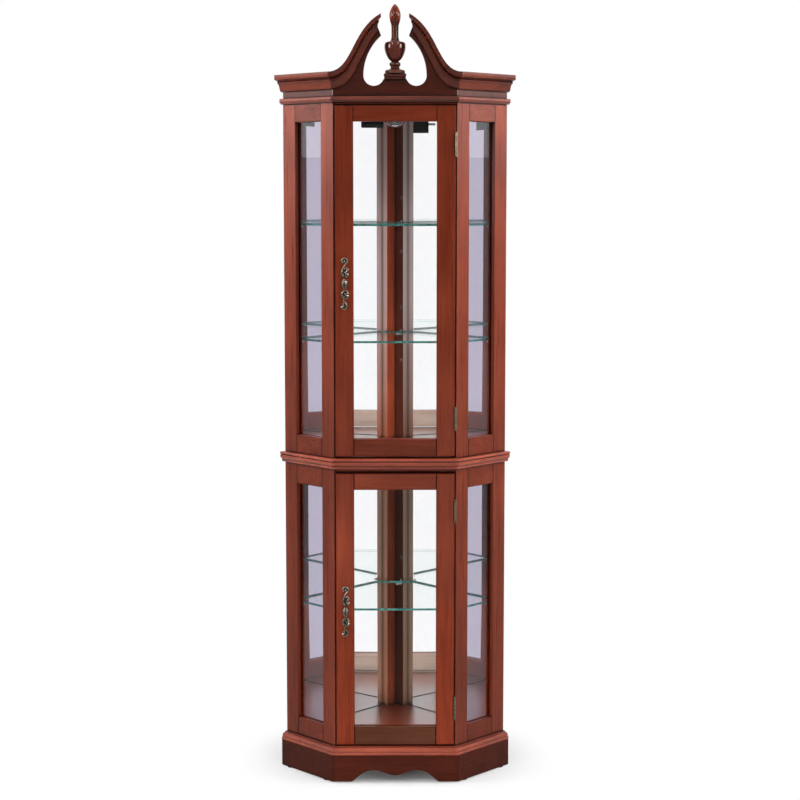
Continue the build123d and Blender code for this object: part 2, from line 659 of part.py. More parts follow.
glide = Pos(0, 0, GLIDE_HEIGHT / 2) * Cylinder(GLIDE_RADIUS, GLIDE_HEIGHT)
glide_u = PLINTH_BOARD / 2 - PLINTH_OUT
front_glide = Pos(SIDE_PANEL - GLIDE_INSET, glide_u, 0) * glide
side_glide = Pos(GLIDE_INSET, glide_u, 0) * glide
rear_middle = POST_LEG / 2 + POST_CHAMFER / 4
rear_spot = room(WALL - rear_middle, rear_middle)
glides = [place(spot) for spot in (front_glide, side_glide) for place in (on_left, on_right)]
keep("floor_glides", *glides, Pos(*rear_spot, 0) * glide)

# Decks between the side frames, notched round the rear post
deck_plan = [
    corner(0),
    room(BOARD, SIDE_PANEL - BOARD),
    room(BOARD, BACK_BOARD_THICKNESS),
    room(WALL - POST_BACK, BACK_BOARD_THICKNESS),
    room(WALL - POST_BACK, BACK),
    room(WALL - POST_END, BACK),
    room(WALL - POST_END, POST_LEG),
]
deck_plan = deck_plan + [room(WALL - POST_LEG, POST_LEG)] + flipped(deck_plan)
keep("bottom_deck", prism(deck_plan, PLINTH_TOP, FLOOR_TOP))
keep("middle_deck", prism(deck_plan, WAIST_Z, WAIST_TOP))
keep("top_panel", prism(deck_plan, CEILING, CARCASS_TOP))

# Side frames with their panes, drawn once for the left side
open_v0 = SIDE_STILE
open_v1 = SIDE_PANEL - SIDE_STILE
rail_levels = [
    (PLINTH_TOP, PLINTH_TOP + SIDE_BOTTOM_RAIL),
    (WAIST_Z - SIDE_MIDDLE_RAIL_DROP, WAIST_Z - SIDE_MIDDLE_RAIL_DROP + SIDE_MIDDLE_RAIL),
    (CARCASS_TOP - SIDE_TOP_RAIL, CARCASS_TOP),
]
openings = [(rail_levels[0][1], rail_levels[1][0]), (rail_levels[1][1], rail_levels[2][0])]
glazing = [glazed(open_v0, open_v1, z0, z1, 0) for z0, z1 in openings]
rebates = [rebate for rebate, pane, beads in glazing]
rear_stile = eased(block(0, open_v0, 0, BOARD, PLINTH_TOP, CARCASS_TOP)) - rebates
stile_plan = [(open_v1, 0), (SIDE_PANEL, 0), (SIDE_PANEL - BOARD, BOARD), (open_v1, BOARD)]
front_stile = eased(prism(stile_plan, PLINTH_TOP, CARCASS_TOP)) - rebates
front_stile = front_stile - [FRONT_SEAT * pin_hole(z) for z in SPARE_HOLES]
rails = [eased(block(open_v0, open_v1, 0, BOARD, z0, z1)) - rebates for z0, z1 in rail_levels]
for side, place in (("left", on_left), ("right", on_right)):
    keep(side + "_front_stile", place(front_stile))
    keep(side + "_rear_stile", place(rear_stile))
    keep(side + "_side_rails", *[place(rail) for rail in rails])
    keep(side + "_side_glass", *[place(pane) for rebate, pane, beads in glazing])
side_beads = [bead for rebate, pane, beads in glazing for bead in beads]
keep("side_glazing_beads", *[place(bead) for bead in side_beads for place in (on_left, on_right)])

# Back: posts, boards and mirrors
leg_plan = [
    room(WALL - POST_END, BACK),
    room(WALL - POST_END, POST_LEG),
    room(WALL - POST_LEG, POST_LEG),
    room(WALL - POST_CHAMFER / 2, POST_CHAMFER / 2),
    room(WALL - POST_CHAMFER, 0),
    room(WALL - POST_BACK, 0),
    room(WALL - POST_BACK, BACK),
]
left_leg = prism(leg_plan, GLIDE_HEIGHT, CARCASS_TOP)
rear_holes = [on_right(REAR_SEAT * pin_hole(z)) for z in SPARE_HOLES]
keep("rear_corner_post", left_leg, mirror(left_leg, about=Plane.YZ) - rear_holes)
levels = [(FLOOR_TOP, WAIST_Z), (WAIST_TOP, CEILING)]
outer_u1 = BOARD + OUTER_POST_WIDTH
outer_v1 = BACK + OUTER_POST_DEPTH
outer_posts = [block(BACK, outer_v1, BOARD, outer_u1, z0, z1) for z0, z1 in levels]
outer_posts = [post - [OUTER_SEAT * pin_hole(z) for z in SPARE_HOLES] for post in outer_posts]
mirror_end = WALL - POST_BACK - FIT
mirrors = [block(BACK_BOARD_THICKNESS, BACK, BOARD + FIT, mirror_end, z0, z1 - FIT) for z0, z1 in levels]
back_board = block(0, BACK_BOARD_THICKNESS, BOARD, WALL - POST_BACK, PLINTH_TOP, CARCASS_TOP)
keep("outer_back_posts", *[place(post) for post in outer_posts for place in (on_left, on_right)])
for side, place in (("left", on_left), ("right", on_right)):
    keep(side + "_back_board", place(back_board))
    keep(side + "_mirrors", *[place(pane) for pane in mirrors])

# Mouldings, frieze and pediment
keep("waist_moulding", *moulding(waist_section()))
keep("top_bead", *moulding(bead_section()))
frieze_plan = [(0, 0), (SIDE_PANEL, 0), (SIDE_PANEL - BOARD, BOARD), (0, BOARD)]
frieze = prism(frieze_plan, CARCASS_TOP, CORNICE_TOP)
keep("frieze_boards", on_left(frieze), on_right(frieze))
cornice_section = Pos(0, CORNICE_Z) * Polygon(*cornice_points(), align=None)
side_cornices = moulding(cornice_section)[::2]
keep("side_cornices", *side_cornices)
half_pediment = left_half_pediment()
keep("pediment_board", half_pediment + mirror(half_pediment, about=Plane.YZ))
scroll = left_scroll()
keep("scroll_mouldings", scroll, mirror(scroll, about=Plane.YZ))
axis_y = FRONT_Y + BOARD / 2
pedestal_z = CARCASS_TOP + SEAT_RISE
finial_z = pedestal_z + PEDESTAL_HEIGHT
pedestal = Pos(0, 0, PEDESTAL_HEIGHT / 2) * Box(PEDESTAL_WIDTH, PEDESTAL_DEPTH, PEDESTAL_HEIGHT)
pedestal = fillet(pedestal.faces().filter_by(Axis.Z).edges(), PEDESTAL_ROUND)
dowel_hole = Cylinder(DOWEL_RADIUS + DOWEL_FIT, 2 * (DOWEL_LENGTH + DOWEL_FIT))
keep("finial_pedestal", Pos(0, axis_y, pedestal_z) * (pedestal - Pos(0, 0, PEDESTAL_HEIGHT) * dowel_hole))
keep("finial", Pos(0, axis_y, finial_z) * finial())

# Shelves and their pins
for name, top in SHELF_TOPS.items():
    keep(name, shelf(top))
pins = []
for level in PIN_LEVELS:
    pin = shelf_pin(level)
    pins += [place(seat * pin) for seat in (FRONT_SEAT, OUTER_SEAT) for place in (on_left, on_right)]
    pins.append(on_right(REAR_SEAT * pin))
keep("shelf_pins", *pins)

# Doors, and the frame side of their hinges
upper_rails = (UPPER_DOOR_BOTTOM_RAIL, UPPER_DOOR_TOP_RAIL)
lower_rails = (LOWER_DOOR_BOTTOM_RAIL, LOWER_DOOR_TOP_RAIL)
door("upper_door", UPPER_DOOR_Z, UPPER_DOOR_HEIGHT, upper_rails, UPPER_PULL_RISE)
door("lower_door", LOWER_DOOR_Z, LOWER_DOOR_HEIGHT, lower_rails, LOWER_PULL_RISE)
hinges = hinge_heights(LOWER_DOOR_Z, LOWER_DOOR_HEIGHT) + hinge_heights(UPPER_DOOR_Z, UPPER_DOOR_HEIGHT)
keep("frame_hinge_leaves", *[hinge_leaf(z, True) for z in hinges])
keep("hinge_pins", *[hinge_pin(z) for z in hinges])

# Door stops behind the head and the sides of each door, a magnetic catch in each head and a sill below
stop_y = DOOR_BACK + STOP_GAP
stop_levels = [WAIST_Z, CEILING]
door_heads = [LOWER_DOOR_Z + LOWER_DOOR_HEIGHT, UPPER_DOOR_Z + UPPER_DOOR_HEIGHT]
catch_x = -DOOR_HALF + DOOR_STILE + CATCH_WIDTH
catch_y = DOOR_BACK + STRIKE + CATCH_GAP
stops = [block(-FRONT_HALF, FRONT_HALF, stop_y, stop_y + STOP_DEPTH, z - STOP_HEIGHT, z) for z in stop_levels]
catches = []
for head in door_heads:
    z = head - CATCH_DROP
    half = CATCH_HEIGHT / 2
    x0 = catch_x - CATCH_WIDTH / 2
    catches.append(block(x0, x0 + CATCH_WIDTH, catch_y, stop_y + STOP_DEPTH / 2, z - half, z + half))
stops = [stop - catches for stop in stops]
stile_back = FRONT_Y + BOARD / DIAGONAL
sill_y = FRONT_Y + SILL_SETBACK
for deck, level in zip((FLOOR_TOP, WAIST_TOP), stop_levels):
    upright_stop = block(-FRONT_HALF, STOP_WIDTH - FRONT_HALF, stop_y, stile_back, deck, level - STOP_HEIGHT)
    sill_top = deck + DOOR_SILL_GAP - SILL_CLEARANCE
    sill = block(-DOOR_HALF, DOOR_HALF, sill_y, sill_y + SILL_DEPTH, deck, sill_top)
    stops += [upright_stop, mirror(upright_stop, about=Plane.YZ), sill]
keep("door_stops", *stops)
keep("door_catches", *catches)

# Ceiling lamp
lamp_y = FRONT_Y + LAMP_SETBACK
ball = Sphere(LAMP_RADIUS) & Pos(0, 0, LAMP_DROP - LAMP_RADIUS) * Box(*[2 * LAMP_RADIUS] * 3)
lamp = Pos(0, lamp_y, CEILING - LAMP_DROP)
aim = lamp * Rot(-LAMP_TILT, 0, 0) * Pos(0, 0, -BEZEL_REACH)
bezel = Cylinder(BEZEL_RADIUS, BEZEL_HEIGHT) - Cylinder(LENS_RADIUS, BEZEL_HEIGHT)
bezel = chamfer(bezel.edges().sort_by(Axis.Z)[:2], BEZEL_HEIGHT / 4)
bezel = aim * Pos(0, 0, -BEZEL_HEIGHT / 2) * bezel
lens = aim * Pos(0, 0, -BEZEL_HEIGHT / 4) * Cylinder(LENS_RADIUS - LENS_FIT, BEZEL_HEIGHT / 2)
cut = aim * Pos(0, 0, -BEZEL_REACH) * Cylinder(2 * LAMP_RADIUS, 2 * BEZEL_REACH)
keep("lamp_housing", lamp * ball - cut)
keep("lamp_bezel", bezel)
keep("lamp_lens", lens)
side_barrel = Rot(0, 90, 0) * Cylinder(LAMP_BARREL_RADIUS, BARREL_LENGTH)
side_barrel = fillet(side_barrel.edges(), LAMP_BARREL_RADIUS / 3)
half_bracket = BRACKET_WIDTH / 2
bracket = block(-half_bracket, half_bracket, -half_bracket, half_bracket, 0, LAMP_BARREL_DROP)
side_barrel = side_barrel + bracket
keep("lamp_barrel", Pos(-BARREL_OFFSET - BARREL_LENGTH / 2, lamp_y, CEILING - LAMP_BARREL_DROP) * side_barrel)
switch_x0 = SWITCH_OFFSET - SWITCH_WIDTH / 2
switch_x1 = switch_x0 + SWITCH_WIDTH
switch_y0 = lamp_y - SWITCH_DEPTH / 2
switch = block(switch_x0, switch_x1, switch_y0, switch_y0 + SWITCH_DEPTH, CEILING - SWITCH_DROP, CEILING)
keep("lamp_switch_box", fillet(switch.edges().filter_by(Axis.Z), SWITCH_DEPTH / 10))
clip_z = CEILING - CLIP_DROP
clip_y = lamp_y - CLIP_SIZE / 2
clip = block(switch_x1, switch_x1 + CLIP_LENGTH, clip_y, clip_y + CLIP_SIZE, clip_z, clip_z + CLIP_SIZE)
keep("lamp_cable_clip", fillet(clip.edges().filter_by(Axis.Y).sort_by(Axis.X)[-2:], CLIP_SIZE / 4))

os.makedirs("parts", exist_ok=True)
for name, shape in NODES.items():
    export_step(shape, "parts/" + name + ".step")
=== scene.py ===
import math

import bmesh
import bpy
from mathutils import Matrix, Vector


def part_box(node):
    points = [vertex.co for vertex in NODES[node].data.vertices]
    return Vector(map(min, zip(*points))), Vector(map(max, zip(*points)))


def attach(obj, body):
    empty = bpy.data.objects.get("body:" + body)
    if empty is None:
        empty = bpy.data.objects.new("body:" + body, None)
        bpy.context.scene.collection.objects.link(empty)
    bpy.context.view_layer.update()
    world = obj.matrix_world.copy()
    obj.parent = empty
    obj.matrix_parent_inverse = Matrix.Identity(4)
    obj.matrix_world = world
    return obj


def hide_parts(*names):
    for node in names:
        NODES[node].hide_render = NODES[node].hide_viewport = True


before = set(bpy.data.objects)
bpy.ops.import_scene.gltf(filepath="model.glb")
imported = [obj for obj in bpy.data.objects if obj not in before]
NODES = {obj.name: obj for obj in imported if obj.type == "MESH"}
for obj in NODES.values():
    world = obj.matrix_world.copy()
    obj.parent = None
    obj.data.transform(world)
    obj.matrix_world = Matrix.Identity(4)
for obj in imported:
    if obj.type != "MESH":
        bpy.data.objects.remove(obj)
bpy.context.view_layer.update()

# Places read from the frame, in metres
FRONT_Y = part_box("upper_door_stiles")[0].y
FRONT_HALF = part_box("pediment_board")[1].x
MIRROR_FEET = [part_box("bottom_deck")[1].z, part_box("middle_deck")[1].z]
MIRROR_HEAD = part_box("left_mirrors")[1].z

# Camera, as the photograph was taken: a long lens somewhat above the cabinet's middle, tipped down a little
IMAGE = 800
FOCAL_PIXELS = 1755
CAMERA_DISTANCE = 4.010
CAMERA_HEIGHT = 1.381
CAMERA_TILT = 0.1030
CAMERA_YAW = -0.0028
SENSOR = 36.0
SHIFT_Y = -0.035
CLIP_END = 100


def make_camera():
    data = bpy.data.cameras.new("camera")
    data.sensor_width = SENSOR
    data.lens = FOCAL_PIXELS / IMAGE * SENSOR
    data.shift_y = SHIFT_Y
    data.clip_end = CLIP_END
    camera = bpy.data.objects.new("camera", data)
    bpy.context.scene.collection.objects.link(camera)
    camera.location = (0, FRONT_Y - CAMERA_DISTANCE, CAMERA_HEIGHT)
    camera.rotation_euler = (math.pi / 2 - CAMERA_TILT, 0, CAMERA_YAW)
    bpy.context.scene.camera = camera


# Node helpers
OCCLUSION_SAMPLES = 6


def new_material(name):
    material = bpy.data.materials.new(name)
    material.use_nodes = True
    material.node_tree.nodes.clear()
    return material


class Graph:
    """Short ways to add and join shader nodes in one tree."""

    def __init__(self, tree):
        self.tree = tree

    def add(self, kind, inputs=None, **settings):
        node = self.tree.nodes.new(kind)
        for key, value in settings.items():
            setattr(node, key, value)
        for key, value in (inputs or {}).items():
            self.put(node.inputs[key], value)
        return node

    def put(self, socket, value):
        if isinstance(value, bpy.types.NodeSocket):
            self.tree.links.new(value, socket)
        else:
            socket.default_value = value

    def math(self, operation, *values):
        node = self.add("ShaderNodeMath", operation=operation)
        for i, value in enumerate(values):
            self.put(node.inputs[i], value)
        return node.outputs[0]

    def vector(self, operation, first, second):
        inputs = {0: first, 1: second}
        return self.add("ShaderNodeVectorMath", inputs, operation=operation).outputs[0]

    def place(self):
        """Where a point is on its own object, in metres."""
        return self.add("ShaderNodeTexCoord").outputs["Object"]

    def split(self, vector):
        """The X, Y and Z of a vector, by name."""
        return self.add("ShaderNodeSeparateXYZ", {0: vector}).outputs

    def blend(self, first, second, share):
        """A share of the first value and the rest of the second."""
        first = self.math("MULTIPLY", first, share)
        second = self.math("MULTIPLY", second, 1 - share)
        return self.math("ADD", first, second)

    def fall(self, height, level, reach, amount=1.0):
        """An amount just above a level, which falls to nothing within reach; nothing below the level."""
        span = {0: height, 1: level, 2: level + reach, 3: amount, 4: 0.0}
        above = self.math("GREATER_THAN", height, level)
        return self.math("MULTIPLY", self.add("ShaderNodeMapRange", span).outputs[0], above)

    def mix_colour(self, factor, first, second, blend="MIX"):
        node = self.add("ShaderNodeMix", data_type="RGBA", blend_type=blend)
        self.put(node.inputs[0], factor)
        self.put(node.inputs[6], first)
        self.put(node.inputs[7], second)
        return node.outputs[2]

    def multiply(self, colour, other, share=1.0):
        return self.mix_colour(share, colour, other, "MULTIPLY")

    def ramp(self, value, stops):
        node = self.add("ShaderNodeValToRGB")
        elements = node.color_ramp.elements
        while len(elements) < len(stops):
            elements.new(0.5)
        for element, (place, colour) in zip(elements, stops):
            element.position = place
            element.color = (*colour, 1)
        self.put(node.inputs[0], value)
        return node.outputs[0]

    def noise(self, vector, scale, detail=4.0, roughness=0.5, distortion=0.0):
        inputs = {"Vector": vector, "Scale": scale, "Detail": detail}
        node = self.add("ShaderNodeTexNoise", inputs)
        node.inputs["Roughness"].default_value = roughness
        node.inputs["Distortion"].default_value = distortion
        return node.outputs[0]

    def bump(self, height, strength, distance):
        inputs = {"Height": height, "Strength": strength, "Distance": distance}
        return self.add("ShaderNodeBump", inputs).outputs[0]

    def occlusion(self, reach):
        """How open the place is to the air within reach: 1 on a flat, less in a corner."""
        inputs = {"Distance": reach}
        return self.add("ShaderNodeAmbientOcclusion", inputs, samples=OCCLUSION_SAMPLES).outputs["AO"]

    def seen(self):
        """1 for what the eye, mirrors and glass see, 0 for light that falls on things."""
        path = self.add("ShaderNodeLightPath")
        seen = self.math("MAXIMUM", path.outputs["Is Camera Ray"], path.outputs["Is Glossy Ray"])
        return self.math("MAXIMUM", seen, path.outputs["Is Transmission Ray"])

    def sheen(self, index):
        """How much a pane reflects: the same from inside the glass as from outside it."""
        inside = self.add("ShaderNodeNewGeometry").outputs["Backfacing"]
        index = self.add("ShaderNodeMapRange", {0: inside, 3: index, 4: 1 / index})
        return self.add("ShaderNodeFresnel", {"IOR": index.outputs[0]}).outputs[0]

    def mix_shader(self, share, first, second):
        return self.add("ShaderNodeMixShader", {0: share, 1: first, 2: second}).outputs[0]

    def surface(self, inputs):
        """Ends the tree with the shader of a solid."""
        self.output(self.add("ShaderNodeBsdfPrincipled", inputs).outputs[0])

    def output(self, surface):
        node = self.add("ShaderNodeOutputMaterial")
        self.tree.links.new(surface, node.inputs["Surface"])


def white(level):
    return (level, level, level, 1)


# World: white to the eye, to mirrors and through glass, and plain ambient light for the rest
AMBIENT = 0.18


def make_world():
    world = bpy.data.worlds.new("studio")
    bpy.context.scene.world = world
    world.use_nodes = True
    world.node_tree.nodes.clear()
    graph = Graph(world.node_tree)
    strength = graph.math("ADD", graph.math("MULTIPLY", graph.seen(), 1 - AMBIENT), AMBIENT)
    light = graph.add("ShaderNodeBackground", {"Color": white(1), "Strength": strength})
    out = graph.add("ShaderNodeOutputWorld")
    graph.tree.links.new(light.outputs[0], out.inputs["Surface"])


# Floor: its half width, and the distances from the middle between which paper turns to backdrop
FLOOR_HALF = 6.0
FLOOR_NEAR = 0.12
FLOOR_FAR = 0.40
FLOOR_SHADE = 0.93


def make_floor():
    """A pale floor that holds the shadow near the cabinet and fades into the white backdrop."""
    mesh = bpy.data.meshes.new("floor")
    corners = [(x * FLOOR_HALF, y * FLOOR_HALF, 0) for x, y in ((-1, -1), (1, -1), (1, 1), (-1, 1))]
    mesh.from_pydata(corners, [], [(0, 1, 2, 3)])
    floor = bpy.data.objects.new("floor", mesh)
    bpy.context.scene.collection.objects.link(floor)
    material = new_material("floor_paper")
    graph = Graph(material.node_tree)
    reach = graph.add("ShaderNodeVectorMath", {0: graph.place()}, operation="LENGTH").outputs["Value"]
    span = {0: reach, 1: FLOOR_NEAR, 2: FLOOR_FAR}
    far = graph.add("ShaderNodeMapRange", span, interpolation_type="SMOOTHSTEP").outputs[0]
    paper = graph.add("ShaderNodeBsdfDiffuse", {"Color": white(FLOOR_SHADE)})
    glow = graph.add("ShaderNodeEmission", {"Color": white(1), "Strength": 1.0})
    share = graph.math("MULTIPLY", far, graph.seen())
    graph.output(graph.mix_shader(share, paper.outputs[0], glow.outputs[0]))
    mesh.materials.append(material)


# Lamps: watts of each, the left one of a pair first, and beams in degrees
KEY_WATTS = (30, 32)
SOFTBOX_WATTS = (40, 42)
SOFTBOX_BEAM = 75
CARD_WATTS = 12
STRIP_WATTS = 70
TOP_WATTS = 10
LOW_WATTS = 6
LOW_BEAM = 50
INNER_WATTS = 1.5


def make_light(name, place, target, size, watts, beam=180):
    """A rectangular lamp that faces a target."""
    data = bpy.data.lights.new(name, "AREA")
    data.shape = "RECTANGLE"
    data.size, data.size_y = size
    data.energy = watts
    data.spread = math.radians(beam)
    light = bpy.data.objects.new(name, data)
    bpy.context.scene.collection.objects.link(light)
    light.location = place
    light.rotation_euler = (Vector(target) - Vector(place)).to_track_quat("-Z", "Y").to_euler()
    return light


def make_lights():
    """Pairs of lamps at the front and the sides, a strip above, and low and inner fills."""
    for side, key_watts, box_watts in zip((-1, 1), KEY_WATTS, SOFTBOX_WATTS):
        make_light("front_key", (1.7 * side, -3.0, 3.3), (0, 0, 0.9), (0.35, 0.7), key_watts)
        place = (2.6 * side, -0.2, 2.15)
        softbox = make_light("side_softbox", place, (0, -0.1, 1.75), (1.5, 1.1), box_watts, SOFTBOX_BEAM)
        softbox.visible_glossy = False
        card = make_light("side_card", (2.6 * side, -0.3, 2.0), (0, -0.1, 1.7), (1.6, 1.0), CARD_WATTS)
        card.visible_diffuse = False
        strip = make_light("front_strip", (2.3 * side, -1.3, 2.05), (0, -0.1, 1.6), (0.7, 1.1), STRIP_WATTS)
        strip.visible_diffuse = False
    make_light("top_strip", (0, -0.35, 3.1), (0, -0.2, 1.0), (1.3, 0.16), TOP_WATTS)
    low = make_light("low_fill", (0.3, -3.0, 0.30), (0, 0, 0.10), (1.8, 0.4), LOW_WATTS, LOW_BEAM)
    low.visible_glossy = False
    for level in MIRROR_FEET:
        place = (0, -0.02, level + 0.26)
        inner = make_light("inner_fill", place, (0, -0.17, level + 0.03), (0.16, 0.08), INNER_WATTS)
        inner.visible_glossy = False


make_camera()
make_world()
make_floor()
make_lights()


# Wood: fine long streaks, broad figure, short dark pores and slow patches, under a satin lacquer,
# with painted shade that darkens it in joints, gaps and corners
STAIN = [
    (0.30, (0.096, 0.0130, 0.0042)),
    (0.45, (0.150, 0.0225, 0.0075)),
    (0.58, (0.186, 0.0305, 0.0105)),
    (0.74, (0.245, 0.0470, 0.0180)),
]
# Grain marks: their scale across the grain, and how many times longer they are along it
BEND = (9, 5)
FIGURE = (38, 11)
STREAK = (260, 34)
PORE = (900, 26)
PATCH_SCALE = 5.5
FIGURE_SHARE = 0.55
BEND_SHARE = 0.25
PORE_SHARE = 0.75
PATCHES = [(0.30, (0.80, 0.77, 0.76)), (0.70, (1.12, 1.10, 1.10))]
PORES = [(0.30, (0.52, 0.46, 0.44)), (0.42, (1, 1, 1))]
LINING = [(0.35, (0.27, 0.195, 0.15)), (0.65, (0.40, 0.31, 0.25))]
CORNER_SHADE = (0.05, 0.035, 0.03)
CORNER_SHADE_REACH = 0.012
FLAT_ON = 0.9
COAT_ROUGH = 0.28

# Ways of the grain
UPRIGHT = (0, 0, 0)
ACROSS = (0, math.pi / 2, 0)
LEFT_SLANT = (0, math.pi / 2, math.pi / 4)
RIGHT_SLANT = (0, math.pi / 2, -math.pi / 4)
WRAPPED = "wrapped"


def turned(graph, place, shift, rotation):
    """Coordinates moved and turned."""
    node = graph.add("ShaderNodeMapping", {"Vector": place})
    node.inputs["Location"].default_value = shift
    node.inputs["Rotation"].default_value = rotation
    return node.outputs[0]


def pick(graph, factor, first, second):
    """The first vector, or the second where factor is 1."""
    node = graph.add("ShaderNodeMix", data_type="VECTOR")
    graph.put(node.inputs[0], factor)
    graph.put(node.inputs[4], first)
    graph.put(node.inputs[5], second)
    return node.outputs[1]


def grain_frame(graph, along, shift):
    """Coordinates whose Z runs with the grain; WRAPPED follows the front and the slanted sides."""
    place = graph.place()
    if along != WRAPPED:
        return turned(graph, place, shift, along)
    x = graph.split(place)["X"]
    front = turned(graph, place, shift, ACROSS)
    left = turned(graph, place, shift, LEFT_SLANT)
    right = turned(graph, place, shift, RIGHT_SLANT)
    grain = pick(graph, graph.math("LESS_THAN", x, -FRONT_HALF), front, left)
    return pick(graph, graph.math("GREATER_THAN", x, FRONT_HALF), grain, right)


def wood(name, along, shift, specular=0.08, coat=0.0, coat_index=1.5, tone=1.0, rough=0.30,
         inside=None, tint=None, reach=CORNER_SHADE_REACH, full=0.88, soft=0.5):
    """Mahogany, with its grain along one way.

    Faces that look the way of inside are lined with pale wood, and a tint changes the colour by place
    (for the rear post, painted light and shade). Shade is painted within reach of a corner: full is how
    open a place is that has none, and soft how far below that it is darkest.
    """
    material = new_material(name)
    graph = Graph(material.node_tree)
    grain = grain_frame(graph, along, shift)

    def stretched(scale, length):
        node = graph.add("ShaderNodeMapping", {"Vector": grain})
        node.inputs["Scale"].default_value = (scale, scale, scale / length)
        return node.outputs[0]

    bend = graph.noise(stretched(*BEND), 1.0, detail=2.0)
    figure = graph.noise(stretched(*FIGURE), 1.0, detail=5.0, roughness=0.55, distortion=0.6)
    streak = graph.noise(stretched(*STREAK), 1.0, detail=4.0, roughness=0.6)
    pore = graph.noise(stretched(*PORE), 1.0, detail=2.0)
    patch = graph.noise(grain, PATCH_SCALE, detail=2.0)
    body = graph.blend(figure, streak, FIGURE_SHARE)
    body = graph.math("ADD", body, graph.math("MULTIPLY", graph.math("SUBTRACT", bend, 0.5), BEND_SHARE))
    colour = graph.ramp(body, [(place, [c * tone for c in shade]) for place, shade in STAIN])
    colour = graph.multiply(colour, graph.ramp(patch, PATCHES))
    colour = graph.multiply(colour, graph.ramp(pore, PORES), PORE_SHARE)
    if tint:
        colour = tint(graph, colour)
    # painted shade: the colour darkens towards near black where the occlusion finds a joint, gap or corner
    # within reach
    painted_shade = graph.ramp(graph.occlusion(reach), [(full - soft, CORNER_SHADE), (full, (1, 1, 1))])
    colour = graph.multiply(colour, painted_shade)
    if inside:
        sight = {0: graph.add("ShaderNodeTexCoord").outputs["Normal"], 1: inside}
        facing = graph.add("ShaderNodeVectorMath", sight, operation="DOT_PRODUCT").outputs["Value"]
        lined = graph.math("GREATER_THAN", facing, FLAT_ON)
        colour = graph.mix_colour(lined, colour, graph.ramp(body, LINING))
    gloss = graph.ramp(streak, [(0.3, [rough - 0.04] * 3), (0.7, [rough + 0.05] * 3)])
    bump = graph.bump(graph.blend(streak, pore, 0.6), 0.10, 0.0006)
    graph.surface({
        "Base Color": colour, "Roughness": gloss, "Normal": bump, "Specular IOR Level": specular,
        "Coat Weight": coat, "Coat IOR": coat_index, "Coat Roughness": COAT_ROUGH,
    })
    return material


# Rear post: painted light and shade on its left and right legs and its lower and upper storeys, painted shade
# on its back, and a painted pale sheen on its outer ends
POST_LEG_LIGHT = [(0.0, (1.25, 1.45, 1.6)), (1.0, (0.32, 0.47, 0.64))]
POST_STOREY_SHADE = [(0.0, (0.33, 0.38, 0.43)), (1.0, (1, 1, 1))]
POST_EDGE_SHEEN = [(0.0, (0.22, 0.155, 0.105)), (1.0, (0.62, 0.53, 0.50))]
POST_BROWN = (0.16, 0.10, 0.06, 1)
POST_BACK_SHADE = 0.42
POST_FRONT = -0.2
POST_ENDS = 0.0196
POST_FADE = 0.35


def post_light_and_shade(graph, colour):
    """Painted light and shade: the front is painted darker on its right leg and below, faces away from the
    front are painted in shade, and its outer edges carry a painted pale sheen, brown at their feet.
    """
    place = graph.split(graph.place())
    facing = graph.split(graph.add("ShaderNodeTexCoord").outputs["Normal"])
    front = graph.math("LESS_THAN", facing["Y"], POST_FRONT)
    # painted shade: faces turned away from the front are drawn darker
    back = graph.multiply(colour, white(POST_BACK_SHADE))
    right = graph.math("GREATER_THAN", place["X"], 0)
    # painted light on the left leg and painted shade on the right leg
    colour = graph.multiply(colour, graph.ramp(right, POST_LEG_LIGHT))
    upper = graph.math("GREATER_THAN", place["Z"], max(MIRROR_FEET))
    # painted shade on the lower storey
    colour = graph.multiply(colour, graph.ramp(upper, POST_STOREY_SHADE))
    # painted pale sheen on the outer ends, browner just above each deck
    pale = graph.mix_colour(1.0, colour, graph.ramp(upper, POST_EDGE_SHEEN), "SCREEN")
    brown = graph.mix_colour(1.0, colour, POST_BROWN, "SCREEN")
    for level in MIRROR_FEET:
        pale = graph.mix_colour(graph.fall(place["Z"], level, POST_FADE), pale, brown)
    ends = graph.math("GREATER_THAN", graph.math("ABSOLUTE", place["X"]), POST_ENDS)
    return graph.mix_colour(front, back, graph.mix_colour(ends, colour, pale))


# Bottom rails of the doors: their depth, a little slack under their foot, and the shade of each
RAIL_DEPTH = 0.09
RAIL_SLACK = 0.005
DULL_RAILS = (("upper_door_rails", (0.70, 0.70, 0.74)), ("lower_door_rails", (0.46, 0.92, 1.30)))


def rail_tint(graph, colour):
    """The bottom rail of each door is drawn duller and darker than the rest of its frame, the lower one
    greyer.
    """
    height = graph.split(graph.place())["Z"]
    for node, dulled in DULL_RAILS:
        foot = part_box(node)[0].z
        over = graph.math("GREATER_THAN", height, foot - RAIL_SLACK)
        under = graph.math("LESS_THAN", height, foot + RAIL_DEPTH)
        share = graph.math("MULTIPLY", over, under)
        colour = graph.multiply(colour, (*dulled, 1), share)
    return colour


PANE_WAVE = 7.0


def glass(name, tint, rough, index):
    """Clear glass, thin enough that lamps pass straight through it."""
    material = new_material(name)
    graph = Graph(material.node_tree)
    wave = graph.noise(graph.place(), PANE_WAVE, detail=2.0, roughness=0.4)
    bump = graph.bump(wave, 0.004, 0.002)
    gloss = graph.add("ShaderNodeBsdfGlossy", {"Color": white(1), "Roughness": rough, "Normal": bump})
    clear = graph.add("ShaderNodeBsdfTransparent", {"Color": (*tint, 1)})
    graph.output(graph.mix_shader(graph.sheen(index), clear.outputs[0], gloss.outputs[0]))
    return material


# Shelf glass, and the green of its cut edges
SHELF_TINT = (0.965, 0.985, 0.978, 1)
SHELF_INDEX = 1.15
SHELF_SHEEN = 0.35
SHELF_ROUGH = 0.015
RIM_GREEN = [(0.35, (0.010, 0.070, 0.058)), (0.65, (0.085, 0.30, 0.26))]
RIM_STREAKS = 160.0
RIM_ROUGH = 0.12
RIM_SPECULAR = 0.2


